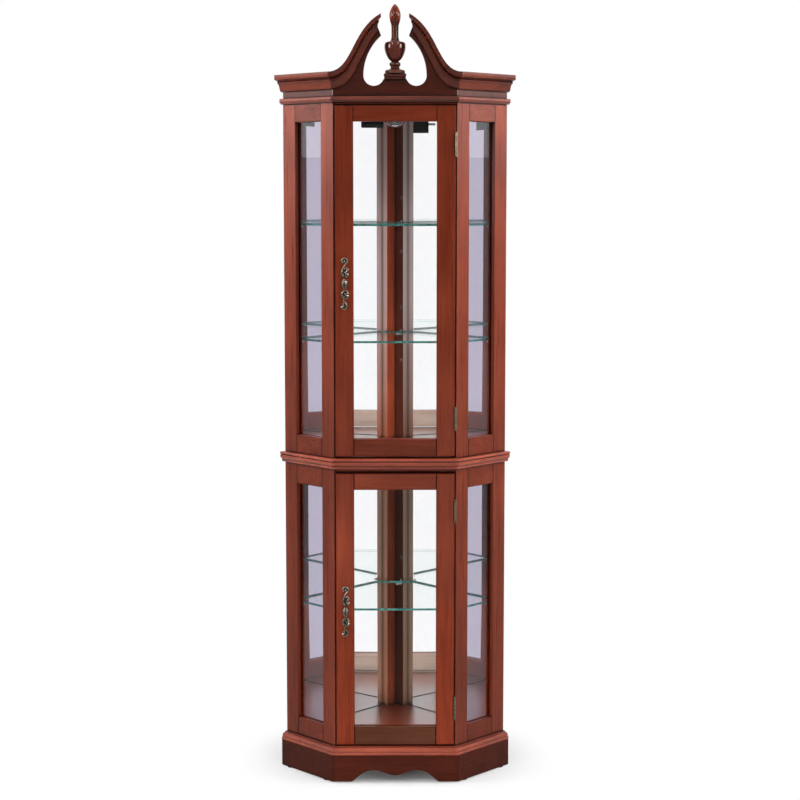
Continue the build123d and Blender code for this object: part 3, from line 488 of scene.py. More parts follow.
def shelf_glass(name):
    """Plate glass that is clear through its flats and sea green where its cut edges gather light.

    The front edge is green from outside, and clear from inside the glass.
    """
    material = new_material(name)
    graph = Graph(material.node_tree)
    facing = graph.split(graph.add("ShaderNodeNewGeometry").outputs["True Normal"])
    upright = graph.math("LESS_THAN", graph.math("ABSOLUTE", facing["Z"]), FLAT_ON)
    edge = graph.math("MULTIPLY", upright, graph.math("LESS_THAN", facing["Y"], FLAT_ON))
    green = graph.ramp(graph.noise(graph.place(), RIM_STREAKS, detail=3.0), RIM_GREEN)
    inputs = {"Base Color": green, "Roughness": RIM_ROUGH, "Specular IOR Level": RIM_SPECULAR}
    rim = graph.add("ShaderNodeBsdfPrincipled", inputs)
    gloss = graph.add("ShaderNodeBsdfGlossy", {"Color": white(1), "Roughness": SHELF_ROUGH})
    clear = graph.add("ShaderNodeBsdfTransparent", {"Color": SHELF_TINT})
    sheen = graph.math("MULTIPLY", graph.sheen(SHELF_INDEX), SHELF_SHEEN)
    flat = graph.mix_shader(sheen, clear.outputs[0], gloss.outputs[0])
    graph.output(graph.mix_shader(edge, flat, rim.outputs[0]))
    return material


# Mirrors: their silver and haze, the dark line at their foot (the glass's dark ground edge with a painted
# shadow of the gap under it), and how the sheets lean, bow and dip
SILVERING = 0.98
MIRROR_ROUGH = 0.012
HAZE = [(0.35, (0.995, 0.993, 1.0)), (0.75, (0.975, 0.972, 0.983))]
HAZE_SCALE = 60.0
MIRROR_LINE = 0.0015
FOOT_EDGE_AND_SHADOW = (0.012, 0.010, 0.009, 1)
MIRROR_LEAN = -0.014
MIRROR_TIP = 0.030
MIRROR_BOW = 0.30
MIRROR_DIP = -0.10
DIP_REACH = 0.14


def mirror_glass(name):
    """Silvered glass with a pale haze over its reflection, and a dark line where it stands on a deck: its
    dark ground edge with a painted shadow of the gap under it.

    Its reflection is that of a sheet which leans a little, bows above each deck and dips at its head.
    """
    material = new_material(name)
    graph = Graph(material.node_tree)
    place = graph.place()
    spot = graph.split(place)
    haze = graph.ramp(graph.noise(place, HAZE_SCALE, detail=5.0), HAZE)
    # the dark ground edge of the glass, with a painted shadow of the gap under it, just above each deck
    foot = 0.0
    for level in MIRROR_FEET:
        foot = graph.math("MAXIMUM", foot, graph.math("COMPARE", spot["Z"], level, MIRROR_LINE))
    colour = graph.mix_colour(foot, haze, FOOT_EDGE_AND_SHADOW)
    normal = graph.add("ShaderNodeNewGeometry").outputs["True Normal"]
    across = graph.vector("CROSS_PRODUCT", (0, 0, 1), normal)
    lean = graph.math("MULTIPLY", graph.math("SIGN", spot["X"]), MIRROR_LEAN)
    across = graph.add("ShaderNodeVectorMath", {0: across, "Scale": lean}, operation="SCALE").outputs[0]
    tip = 0.0
    for level in MIRROR_FEET:
        tip = graph.math("ADD", tip, graph.fall(spot["Z"], level, MIRROR_BOW, MIRROR_TIP))
    span = {0: spot["Z"], 1: MIRROR_HEAD - DIP_REACH, 2: MIRROR_HEAD, 3: 0.0, 4: MIRROR_DIP}
    tip = graph.math("ADD", tip, graph.add("ShaderNodeMapRange", span).outputs[0])
    rise = graph.add("ShaderNodeCombineXYZ", {"Z": tip}).outputs[0]
    facing = graph.vector("ADD", graph.vector("ADD", normal, across), rise)
    graph.surface({"Base Color": colour, "Roughness": MIRROR_ROUGH, "Normal": facing, "Metallic": SILVERING})
    return material


# Fine spots of a metal across one of its clouds
FINE_SPOTS = 9


def metal(name, dark, bright, polish, spots, dents):
    """Metal with cloudy changes of colour and polish, between its least and its greatest roughness."""
    material = new_material(name)
    graph = Graph(material.node_tree)
    place = graph.place()
    cloud = graph.noise(place, spots, detail=5.0, roughness=0.6, distortion=0.4)
    fine = graph.noise(place, spots * FINE_SPOTS, detail=3.0, roughness=0.6)
    share = graph.blend(cloud, fine, 0.75)
    colour = graph.ramp(share, [(0.36, dark), (0.62, bright)])
    rough = graph.ramp(share, [(0.35, [max(polish)] * 3), (0.65, [min(polish)] * 3)])
    bump = graph.bump(fine, dents, 0.0003)
    graph.surface({"Base Color": colour, "Roughness": rough, "Normal": bump, "Metallic": 1.0})
    return material


# Cast metal: its colour by how far a place stands out, and the blackening of its hollows
CAST_REACH = 0.004
CAST_GRAIN = 420.0
HOLLOWS = [(0.30, (0.02, 0.02, 0.02)), (0.75, (1, 1, 1))]
CAST_POLISH = [(0.35, (0.46, 0.46, 0.46)), (0.65, (0.24, 0.24, 0.24))]
RIB_TONES = [
    (0.46, (0.010, 0.010, 0.012)),
    (0.52, (0.10, 0.10, 0.11)),
    (0.58, (0.85, 0.86, 0.88)),
]
CAST_TONES = [
    (0.512, (0.004, 0.0035, 0.003)),
    (0.540, (0.022, 0.018, 0.013)),
    (0.562, (0.42, 0.38, 0.30)),
    (0.594, (0.97, 0.93, 0.84)),
]


def cast_metal(name, tones):
    """Cast metal: black in the hollows, dull on the flats and bright on the ridges."""
    material = new_material(name)
    graph = Graph(material.node_tree)
    cloud = graph.noise(graph.place(), CAST_GRAIN, detail=4.0, roughness=0.6)
    ridge = graph.add("ShaderNodeNewGeometry").outputs["Pointiness"]
    ridge = graph.math("ADD", ridge, graph.math("MULTIPLY", cloud, 0.06))
    hollow = graph.ramp(graph.occlusion(CAST_REACH), HOLLOWS)
    colour = graph.multiply(graph.ramp(ridge, tones), hollow)
    rough = graph.ramp(cloud, CAST_POLISH)
    bump = graph.bump(cloud, 0.15, 0.0003)
    graph.surface({"Base Color": colour, "Roughness": rough, "Normal": bump, "Metallic": 0.9})
    return material


def plastic(name, dark, light, rough, scale, specular):
    """Moulded plastic with a fine grain."""
    material = new_material(name)
    graph = Graph(material.node_tree)
    grain = graph.noise(graph.place(), scale, detail=4.0, roughness=0.6)
    colour = graph.ramp(grain, [(0.35, dark), (0.65, light)])
    level = graph.ramp(grain, [(0.3, [rough - 0.06] * 3), (0.7, [rough + 0.06] * 3)])
    bump = graph.bump(grain, 0.12, 0.0002)
    graph.surface({"Base Color": colour, "Roughness": level, "Normal": bump, "Specular IOR Level": specular})
    return material


BOARD_BROWNS = [(0.35, (0.115, 0.050, 0.026)), (0.65, (0.215, 0.110, 0.062))]
BOARD_FIBRES = 420.0
BOARD_CLOUDS = 9.0
BOARD_ROUGH = 0.72


def fibre_board(name):
    """Thin brown hardboard: pressed fibres with no grain direction."""
    material = new_material(name)
    graph = Graph(material.node_tree)
    place = graph.place()
    fibre = graph.noise(place, BOARD_FIBRES, detail=5.0, roughness=0.7, distortion=1.2)
    cloud = graph.noise(place, BOARD_CLOUDS, detail=3.0)
    colour = graph.ramp(graph.blend(fibre, cloud, 0.6), BOARD_BROWNS)
    bump = graph.bump(fibre, 0.25, 0.0005)
    graph.surface({"Base Color": colour, "Roughness": BOARD_ROUGH, "Normal": bump})
    return material


def dress(material, *names):
    """Gives CAD nodes one material in place of what they came with."""
    for name in names:
        mesh = NODES[name].data
        mesh.materials.clear()
        mesh.materials.append(material)


DOOR_PANES = glass("door_glass", (0.996, 0.998, 0.998), rough=0.01, index=1.12)
SIDE_PANES = glass("side_glass", (0.83, 0.815, 0.86), rough=0.01, index=1.3)
SHELVES = shelf_glass("shelf_glass")
MIRROR = mirror_glass("mirror")
BRASS = metal("antique_brass", (0.030, 0.024, 0.016), (0.22, 0.18, 0.12), (0.28, 0.5), spots=260, dents=0.2)
CASTING = cast_metal("cast_brass", CAST_TONES)
RIBBED = cast_metal("ribbed_lamp", RIB_TONES)
CHROME = metal("chrome", (0.55, 0.56, 0.58), (0.78, 0.79, 0.80), (0.06, 0.14), spots=120, dents=0.02)
STEEL = metal("steel", (0.42, 0.43, 0.44), (0.66, 0.67, 0.68), (0.18, 0.34), spots=240, dents=0.05)
BLACK = plastic("black_plastic", (0.003, 0.003, 0.0035), (0.008, 0.008, 0.009), 0.36, 900, specular=0.15)
CLIP = plastic("clip_plastic", (0.50, 0.52, 0.54), (0.66, 0.68, 0.70), 0.30, 700, specular=0.5)
BACKING = fibre_board("back_panel")

# Finishes: painted shade in fine black lines at joints and gaps and in the recesses of mouldings, a pale back
# besides, and the polish of turned and moulded edges
SHADED_JOINTS = {"reach": 0.003, "full": 0.995, "soft": 0.17}
LINED = {"inside": (0, 1, 0), **SHADED_JOINTS}
POLISHED = {"rough": 0.15, "full": 0.97}
MOULDED = {"reach": 0.008, **POLISHED}
# Copies of one mahogany, each part's tone raised or lowered to paint light and shade into it
SIDE_STILES = wood("mahogany_side_stiles", UPRIGHT, (0.31, 0.12, 0.0), specular=0.16, tone=0.7, **SHADED_JOINTS)
# the post's high tone is painted light, making up for the dim inside of the cabinet
POSTS = wood("mahogany_posts", UPRIGHT, (0.44, 0.71, 0.5), tone=2.6, tint=post_light_and_shade)
DOOR_STILES = wood("mahogany_door_stiles", UPRIGHT, (0.87, 0.43, 0.2), **LINED)
RAILS = wood("mahogany_rails", ACROSS, (0.5, 0.21, 0.4), tone=0.9, **LINED)
DOOR_RAILS = wood("mahogany_door_rails", ACROSS, (0.5, 0.21, 0.4), tone=0.9, tint=rail_tint, **LINED)
MOULDINGS = wood("mahogany_mouldings", WRAPPED, (0.13, 0.77, 0.9), specular=0.40, tone=1.40, **MOULDED)
CORNICES = wood("mahogany_cornices", WRAPPED, (0.37, 0.15, 0.6), specular=0.24, tone=0.46, **MOULDED)
TOP_BEAD = wood("mahogany_top_bead", WRAPPED, (0.55, 0.61, 0.5), specular=0.35, tone=0.62, **POLISHED)
# the frieze's low tone is a painted shadow of the cornice above it
FRIEZE = wood("mahogany_frieze", WRAPPED, (0.71, 0.25, 0.3), specular=0.20, tone=0.40, rough=0.22, full=0.97)
PEDIMENT = wood("mahogany_pediment", ACROSS, (0.29, 0.51, 0.2), specular=0.12, tone=0.36)
PLINTH = wood("mahogany_plinth", WRAPPED, (0.63, 0.33, 0.1), tone=0.28)
LEFT_RAILS = wood("mahogany_left_rails", LEFT_SLANT, (0.4, 0.9, 0.3), specular=0.16, tone=0.66, **SHADED_JOINTS)
RIGHT_RAILS = wood("mahogany_right_rails", RIGHT_SLANT, (0.7, 0.2, 0.6), specular=0.16, tone=0.66, **SHADED_JOINTS)
TURNED = wood("mahogany_turned", UPRIGHT, (0.21, 0.58, 0.7), specular=0.2, tone=0.55, rough=0.10, full=0.95)
DECKS = wood("mahogany_decks", ACROSS, (0.91, 0.37, 0.8), coat=1.0, coat_index=2.9, tone=0.45)

dress(DOOR_PANES, "upper_door_glass", "lower_door_glass")
dress(SIDE_PANES, "left_side_glass", "right_side_glass")
dress(SHELVES, "upper_shelf", "middle_shelf", "lower_shelf")
dress(MIRROR, "left_mirrors", "right_mirrors")
dress(BRASS, "frame_hinge_leaves", "upper_door_hinge_leaves", "lower_door_hinge_leaves", "hinge_pins")
dress(BRASS, "upper_door_pull", "lower_door_pull")
dress(CHROME, "lamp_bezel")
dress(STEEL, "shelf_pins", "upper_door_strike", "lower_door_strike")
dress(BLACK, "lamp_barrel", "lamp_switch_box", "lamp_housing", "floor_glides", "door_catches")
dress(CLIP, "lamp_cable_clip", "lamp_lens")
dress(BACKING, "left_back_board", "right_back_board")
dress(SIDE_STILES, "left_front_stile", "left_rear_stile", "right_front_stile", "right_rear_stile")
dress(SIDE_STILES, "outer_back_posts")
dress(POSTS, "rear_corner_post")
dress(DOOR_STILES, "upper_door_stiles", "lower_door_stiles")
dress(DOOR_RAILS, "upper_door_rails", "lower_door_rails")
dress(RAILS, "door_stops", "top_panel")
dress(RAILS, "upper_door_glazing_beads", "lower_door_glazing_beads", "side_glazing_beads")
dress(MOULDINGS, "base_moulding", "waist_moulding")
dress(TOP_BEAD, "top_bead")
dress(FRIEZE, "frieze_boards")
dress(CORNICES, "side_cornices", "scroll_mouldings", "finial_pedestal")
dress(PEDIMENT, "pediment_board")
dress(PLINTH, "plinth_front", "plinth_sides", "plinth_back_rails")
dress(LEFT_RAILS, "left_side_rails")
dress(RIGHT_RAILS, "right_side_rails")
dress(TURNED, "finial")
dress(DECKS, "bottom_deck", "middle_deck")

# Worn edges, which leave a fine groove at every joint
EDGE_WIDTH = 0.0018
EDGE_ANGLE = math.radians(40)
EDGE_SEGMENTS = 2
WELD_REACH = 0.00002


def soften(width, *names):
    """Rounds the sharp edges of CAD nodes as they are drawn."""
    for name in names:
        weld = NODES[name].modifiers.new("weld", "WELD")
        weld.merge_threshold = WELD_REACH
        bevel = NODES[name].modifiers.new("worn_edges", "BEVEL")
        bevel.width = width
        bevel.segments = EDGE_SEGMENTS
        bevel.limit_method = "ANGLE"
        bevel.angle_limit = EDGE_ANGLE


soften(EDGE_WIDTH, "upper_door_stiles", "lower_door_stiles", "upper_door_rails", "lower_door_rails")
soften(EDGE_WIDTH, "left_front_stile", "left_rear_stile", "right_front_stile", "right_rear_stile")
soften(EDGE_WIDTH, "left_side_rails", "right_side_rails")
soften(EDGE_WIDTH, "plinth_front", "plinth_sides", "frieze_boards")

# Moulding sections, in millimetres: projection from the carcass and height above the foot
MM = 0.001
BASE_PROFILE = [
    (0, 0), (16.4, 0), (17.0, 0.7), (17.0, 3.4), (16.6, 4.5), (15.6, 5.6), (14.5, 6.0), (14.2, 6.6),
    (14.6, 8.4), (14.2, 10.6), (12.9, 12.8), (10.9, 14.4), (8.4, 15.4), (6.0, 15.8), (5.0, 16.0),
    (5.0, 17.6), (4.6, 18.0), (0, 18.0),
]
WAIST_PROFILE = [
    (0, 0), (7.0, 0), (8.6, 0.6), (9.8, 2.2), (10.3, 4.2), (10.2, 6.0), (9.8, 6.8), (10.6, 7.4),
    (12.6, 8.4), (14.4, 10.4), (15.4, 13.0), (15.6, 15.4), (15.1, 17.0), (13.7, 17.8), (13.7, 18.6),
    (15.2, 19.0), (16.1, 19.9), (16.4, 21.4), (16.3, 22.6), (15.6, 23.8), (14.4, 24.5), (0, 24.5),
]
BEAD_PROFILE = [
    (0, 0), (6.2, 0), (7.2, 0.6), (7.5, 1.8), (7.4, 2.8), (9.4, 3.2), (10.3, 4.0), (10.7, 5.4),
    (10.7, 10.2), (10.4, 11.6), (9.6, 12.6), (8.2, 13.0), (0, 13.0),
]
CORNICE_PROFILE = [
    (0, 0), (2.6, 0), (5.4, 0.7), (7.8, 2.4), (9.2, 5.0), (9.9, 8.0), (10.6, 11.0), (11.7, 14.2),
    (13.2, 17.0), (13.2, 18.2), (15.4, 18.6), (16.8, 19.6), (17.3, 21.0), (16.9, 22.4), (16.0, 23.2),
    (17.2, 24.2), (19.6, 25.8), (22.4, 26.8), (24.6, 27.2), (25.6, 27.6), (25.9, 28.4), (25.9, 38.4),
    (25.4, 39.0), (0, 39.0),
]
DIAGONAL = math.sqrt(0.5)
MITRE = math.tan(math.pi / 8)
SIDE_LENGTH = 0.171
SIDE_RUN = SIDE_LENGTH * DIAGONAL
CREASE = math.radians(35)


def plan_line(out):
    """Plan points of the left end, the two front corners and the right end, moved outward."""
    corner = (FRONT_HALF + MITRE * out, FRONT_Y - out)
    end = (FRONT_HALF + SIDE_RUN + DIAGONAL * out, FRONT_Y + SIDE_RUN - DIAGONAL * out)
    return [(-end[0], end[1]), (-corner[0], corner[1]), corner, end]


def skin(mesh, rings, looped=False):
    """A tube through rings of points, closed at both ends or looped from the last ring to the first."""
    rings = [[mesh.verts.new(point) for point in ring] for ring in rings]
    count = len(rings[0])
    following = rings[1:] + rings[:1] if looped else rings[1:]
    for low, high in zip(rings, following):
        for k in range(count):
            n = (k + 1) % count
            mesh.faces.new((low[k], low[n], high[n], high[k]))
    if not looped:
        mesh.faces.new(rings[0][::-1])
        mesh.faces.new(rings[-1])


def file_piece(name, mesh, material, node, body="cabinet"):
    """Makes the mesh a visible piece, in the place of a CAD node where one is named."""
    bmesh.ops.recalc_face_normals(mesh, faces=mesh.faces)
    for face in mesh.faces:
        face.smooth = True
    data = bpy.data.meshes.new(name)
    mesh.to_mesh(data)
    mesh.free()
    data.set_sharp_from_angle(angle=CREASE)
    data.materials.append(material)
    piece = bpy.data.objects.new(name, data)
    bpy.context.scene.collection.objects.link(piece)
    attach(piece, body)
    if node:
        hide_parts(node)


def moulding(name, node, profile, material, runs=(0, 1, 2)):
    """Mitred strips of one section along the left side, the front and the right side."""
    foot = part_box(node)[0].z
    stations = [[] for _ in plan_line(0)]
    for out, height in profile:
        for station, (x, y) in zip(stations, plan_line(out * MM)):
            station.append((x, y, foot + height * MM))
    mesh = bmesh.new()
    for run in runs:
        skin(mesh, stations[run:run + 2])
    file_piece(name, mesh, material, node)


# Scrolls: the gap between their tips, their rise and width, and the handles of their curve
SCROLL_HALF_GAP = 0.0315
SCROLL_RISE = 0.1285
SCROLL_WIDTH = 0.027
SCROLL_FOOT_HANDLE = 0.056
SCROLL_TIP_HANDLE = 0.076
SCROLL_TIP_ANGLE = math.radians(28)
SCROLL_RETURN = 0.51
SCROLL_NARROWED = 0.42
SCROLL_STATIONS = 48


def trim(mesh, point, normal):
    """Cuts away what lies on the far side of an upright plane and closes the cut."""
    parts = [*mesh.verts, *mesh.edges, *mesh.faces]
    cut = bmesh.ops.bisect_plane(mesh, geom=parts, plane_co=point, plane_no=normal, clear_outer=True)
    edges = [part for part in cut["geom_cut"] if isinstance(part, bmesh.types.BMEdge)]
    bmesh.ops.edgeloop_fill(mesh, edges=edges)


def scrolls(name, node, material):
    """The cornice section along the two S-curves of the broken pediment."""
    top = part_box("side_cornices")[1].z
    tall = CORNICE_PROFILE[-1][1] * MM
    widest = max(out for out, _ in CORNICE_PROFILE) * MM
    foot = Vector((-FRONT_HALF - MITRE * widest, top))
    tip = Vector((-SCROLL_HALF_GAP, top + SCROLL_RISE))
    lead = Vector((math.cos(SCROLL_TIP_ANGLE), math.sin(SCROLL_TIP_ANGLE)))
    handles = [foot, foot + Vector((SCROLL_FOOT_HANDLE, 0)), tip - lead * SCROLL_TIP_HANDLE, tip]
    rings = []
    for i in range(SCROLL_STATIONS + 1):
        t = i / SCROLL_STATIONS
        a, b, c, d = handles
        edge = a * (1 - t)**3 + b * 3 * t * (1 - t)**2 + c * 3 * t**2 * (1 - t) + d * t**3
        way = ((b - a) * (1 - t)**2 + (c - b) * 2 * t * (1 - t) + (d - c) * t**2).normalized()
        climb = min(1, t / SCROLL_NARROWED)
        width = tall + (SCROLL_WIDTH - tall) * climb * climb * (3 - 2 * climb)
        ring = []
        for out, height in CORNICE_PROFILE:
            drop = (tall - height * MM) * width / tall
            ring.append((edge.x + drop * way.y, FRONT_Y - out * MM, edge.y - drop * way.x))
        rings.append(ring)
    mesh = bmesh.new()
    skin(mesh, rings)
    trim(mesh, (-FRONT_HALF, FRONT_Y, 0), (-1, MITRE, 0))
    trim(mesh, (-SCROLL_HALF_GAP, FRONT_Y - widest, 0), (1, SCROLL_RETURN, 0))
    left = bpy.data.meshes.new("half_scroll")
    mesh.to_mesh(left)
    mesh.transform(Matrix.Scale(-1, 4, (1, 0, 0)))
    mesh.from_mesh(left)
    bpy.data.meshes.remove(left)
    file_piece(name, mesh, material, node)


moulding("base_strip", "base_moulding", BASE_PROFILE, MOULDINGS)
moulding("waist_strip", "waist_moulding", WAIST_PROFILE, MOULDINGS)
moulding("bead_strip", "top_bead", BEAD_PROFILE, TOP_BEAD)
moulding("cornice_strip", "side_cornices", CORNICE_PROFILE, CORNICES, (0, 2))
scrolls("scroll_strips", "scroll_mouldings", CORNICES)

# Turned finial, in millimetres: radius and height above the pedestal
FINIAL_PROFILE = [
    (0.0, 0.0), (21.0, 0.0), (22.6, 1.8), (22.9, 4.4), (21.6, 7.4), (17.2, 8.8), (13.4, 10.2),
    (11.0, 12.2), (10.0, 14.6), (10.4, 16.2), (11.8, 17.6), (12.6, 19.8), (12.6, 22.6), (11.6, 24.6),
    (9.0, 25.8), (8.2, 26.8), (10.3, 28.7), (13.8, 31.8), (16.9, 36.0), (20.6, 43.4), (23.0, 50.7),
    (24.1, 58.0), (23.8, 64.0), (22.8, 67.6), (20.4, 69.9), (15.8, 71.2), (11.8, 72.2), (9.9, 74.3),
    (9.1, 76.5), (8.2, 81.6), (8.1, 93.4), (8.5, 106.6), (9.7, 111.0), (11.5, 117.0), (12.6, 124.0),
    (12.9, 130.0), (12.1, 136.0), (10.0, 142.0), (6.8, 148.0), (3.4, 152.0), (0.0, 155.0),
]
# Block under the finial, as shares of its half width and its height
BLOCK_PROFILE = [
    (0.0, 0.0), (0.90, 0.0), (0.95, 0.02), (0.98, 0.10), (0.97, 0.22), (0.92, 0.30), (0.90, 0.36),
    (0.92, 0.42), (0.98, 0.48), (1.00, 0.60), (1.00, 0.78), (0.97, 0.92), (0.90, 0.99), (0.82, 1.0),
    (0.0, 1.0),
]
# Ribbed lamp glass, in millimetres: radius and height of its rings above the lamp's mouth
LENS_PROFILE = [
    (0.0, 0.0), (17.8, 0.0), (17.8, 1.0), (16.2, 1.2), (15.0, 2.9), (13.4, 2.9), (12.2, 1.2), (10.6, 1.2),
    (9.4, 2.7), (7.8, 2.7), (6.6, 1.2), (5.0, 1.2), (3.8, 2.3), (2.0, 2.5), (0.0, 2.5),
]
LATHE_SIDES = 64
LATHE_STEPS = 4
LATHE_CORE = 0.05


def smooth_path(points, steps):
    """Catmull-Rom line through points."""
    points = [Vector(point) for point in points]
    line = [points[0] * 2 - points[1], *points, points[-1] * 2 - points[-2]]
    path = []
    for a, b, c, d in zip(line, line[1:], line[2:], line[3:]):
        for i in range(steps):
            t = i / steps
            bend = (2 * b, (c - a) * t, (2 * a - 5 * b + 4 * c - d) * t**2, (3 * b - a - 3 * c + d) * t**3)
            path.append(sum(bend[1:], bend[0]) / 2)
    return path + [points[-1]]


def lathe(name, profile, stretch, matrix, material, node, sides=LATHE_SIDES):
    """A turned piece from a smooth profile, in the place of the CAD node; four sides make it square."""
    rings = []
    for radius, height in smooth_path(profile, LATHE_STEPS)[1:-1]:
        radius = max(radius, LATHE_CORE)
        turns = [2 * math.pi * (k + 0.5) / sides for k in range(sides)]
        rings.append([(radius * math.cos(turn), radius * math.sin(turn), height * stretch) for turn in turns])
    mesh = bmesh.new()
    skin(mesh, rings)
    bmesh.ops.transform(mesh, matrix=matrix @ Matrix.Scale(MM, 4), verts=mesh.verts)
    file_piece(name, mesh, material, node)


FINIAL_LOW, FINIAL_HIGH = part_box("finial")
FINIAL_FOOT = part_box("finial_pedestal")[1].z
FINIAL_AXIS = Vector((0, (FINIAL_LOW.y + FINIAL_HIGH.y) / 2, FINIAL_FOOT))
FINIAL_STRETCH = (FINIAL_HIGH.z - FINIAL_FOOT) / MM / FINIAL_PROFILE[-1][1]
FINIAL_PLACE = Matrix.Translation(FINIAL_AXIS)
lathe("turned_finial", FINIAL_PROFILE, FINIAL_STRETCH, FINIAL_PLACE, TURNED, "finial")

BLOCK_LOW, BLOCK_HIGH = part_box("finial_pedestal")
BLOCK_SIZE = (BLOCK_HIGH - BLOCK_LOW) / MM
BLOCK_SIDES = 4
BLOCK_SCALE = Matrix.Diagonal((BLOCK_SIZE.x * DIAGONAL, BLOCK_SIZE.y * DIAGONAL, BLOCK_SIZE.z, 1))
BLOCK_PLACE = Matrix.Translation((FINIAL_AXIS.x, FINIAL_AXIS.y, BLOCK_LOW.z)) @ BLOCK_SCALE
lathe("pedestal_block", BLOCK_PROFILE, 1.0, BLOCK_PLACE, CORNICES, "finial_pedestal", BLOCK_SIDES)

LENS_LOW, LENS_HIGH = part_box("lamp_lens")
LENS_TILT = math.radians(-42)
LENS_BACK = 0.00125
LENS_PLACE = Matrix.Translation((LENS_LOW + LENS_HIGH) / 2) @ Matrix.Rotation(LENS_TILT + math.pi, 4, "X")
LENS_PLACE @= Matrix.Translation((0, 0, -LENS_BACK))
lathe("ribbed_lens", LENS_PROFILE, 1.0, LENS_PLACE, RIBBED, "lamp_lens")

# Nails round the edges of the two back boards: profile in millimetres, places in metres
NAIL_PROFILE = [(3.2, -0.4), (3.4, 0.1), (2.8, 0.7), (1.5, 1.05)]
NAIL_MARGIN = 0.012
NAIL_PITCH = 0.14
STUD_SIDES = 16
BOARD_EDGE = 0.0032  # a little more than the board is thick
BOARD_SLIP = BOARD_EDGE * DIAGONAL


def turned_rings(profile, place):
    """Rings of points about one axis, from a profile in millimetres."""
    turns = [2 * math.pi * k / STUD_SIDES for k in range(STUD_SIDES)]
    return [[place @ Vector((radius * math.cos(a), radius * math.sin(a), height)) for a in turns]
            for radius, height in profile]


def stud_turn(out):
    """Turns a stud's axis the way that it stands out, and its millimetres into metres."""
    return Vector((0, 0, 1)).rotation_difference(out).to_matrix().to_4x4() @ Matrix.Scale(MM, 4)


def nail_rows(low, high):
    """Even places from low to high, about one pitch apart."""
    count = round((high - low) / NAIL_PITCH)
    return [low + (high - low) * i / count for i in range(count + 1)]


def board_nails(name, node, side):
    """Domed nail heads along the outer face of one back board."""
    low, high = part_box(node)
    outer = Vector((low.x if side < 0 else high.x, low.y + BOARD_SLIP, 0))
    along = Vector((-side * DIAGONAL, DIAGONAL, 0))
    out = Vector((side * DIAGONAL, DIAGONAL, 0))
    length = (high.y - low.y - BOARD_SLIP) / DIAGONAL
    spots = [(u, z) for u in (NAIL_MARGIN, length - NAIL_MARGIN)
             for z in nail_rows(low.z + NAIL_MARGIN, high.z - NAIL_MARGIN)]
    spots += [(u, z) for u in nail_rows(NAIL_MARGIN, length - NAIL_MARGIN)[1:-1]
              for z in (low.z + NAIL_MARGIN, high.z - NAIL_MARGIN)]
    turn = stud_turn(out)
    mesh = bmesh.new()
    for u, z in spots:
        place = Matrix.Translation(outer + along * u + Vector((0, 0, z))) @ turn
        skin(mesh, turned_rings(NAIL_PROFILE, place))
    file_piece(name, mesh, STEEL, None)


# Metal eyelets round the spare holes above and below each shelf pin of the rear post
EYELET_PROFILE = [(2.5, -0.6), (2.5, 0.15), (2.8, 0.45), (3.3, 0.45), (3.7, 0.1), (3.7, -0.6)]
EYELET_PLACE = Vector((0.01555, 0.16165, 0))
EYELET_FACING = Vector((-DIAGONAL, -DIAGONAL, 0))
PIN_LEVELS = (1.2975, 1.0275, 0.3975)
HOLE_PITCH = 0.066


def post_eyelets():
    """Turned metal rings on the face of the post."""
    turn = stud_turn(EYELET_FACING)
    mesh = bmesh.new()
    for level in PIN_LEVELS:
        for z in (level - HOLE_PITCH, level + HOLE_PITCH):
            place = Matrix.Translation(EYELET_PLACE + Vector((0, 0, z))) @ turn
            skin(mesh, turned_rings(EYELET_PROFILE, place), looped=True)
    file_piece("post_eyelets", mesh, STEEL, None)


post_eyelets()
board_nails("left_board_nails", "left_back_board", -1)
board_nails("right_board_nails", "right_back_board", 1)

# Cast pulls, in millimetres about the middle of the pull: x across the stile, out from the door, z up
RING_SIDES = 14
STEPS = 9
DOME_STEPS = 4


def strand(mesh, points):
    """A rounded rod of changing thickness with domed ends."""
    path = smooth_path(points, STEPS)
    places = [Vector((q[0], -q[1], q[2])) for q in path]
    radii = [q[3] for q in path]
    ways = [(b - a).normalized() for a, b in zip(places, places[1:])]
    ways.append(ways[-1])
    turns = [k * math.pi / (2 * DOME_STEPS) for k in range(1, DOME_STEPS)]
    dome = [(math.sin(turn), math.cos(turn)) for turn in turns]
    stations = [(places[0] - ways[0] * radii[0] * c, ways[0], radii[0] * s) for s, c in dome]
    stations += list(zip(places, ways, radii))
    stations += [(places[-1] + ways[-1] * radii[-1] * c, ways[-1], radii[-1] * s) for s, c in reversed(dome)]
    side = ways[0].orthogonal().normalized()
    rings = []
    for place, way, radius in stations:
        side = (side - way * side.dot(way)).normalized()
        other = way.cross(side)
        ring = []
        for k in range(RING_SIDES):
            angle = 2 * math.pi * k / RING_SIDES
            ring.append(place + (side * math.cos(angle) + other * math.sin(angle)) * radius)
        rings.append(ring)
    skin(mesh, rings)


# Leaf of the pull: its size, its swell from foot to top, and the split, lobes and veins of its front
LEAF_TOP = 13.0
LEAF_FOOT = -14.5
LEAF_HALF = 7.4
LEAF_OUT = 13.5
LEAF_DEPTH = 6.2
LEAF_TIP = 0.25
LEAF_BELLY = 1.35
LEAF_FULLNESS = 0.72
LEAF_ROUNDNESS = 0.8
SPLIT_WIDTH = 0.16
SPLIT_DEPTH = 1.6
LOBE_PLACE = 0.62
LOBE_WIDTH = 0.16
VEIN_DEPTH = 0.28
VEIN_PITCH = 26
VEIN_SLANT = 9
LEAF_ROWS = 44
LEAF_SPOKES = 56


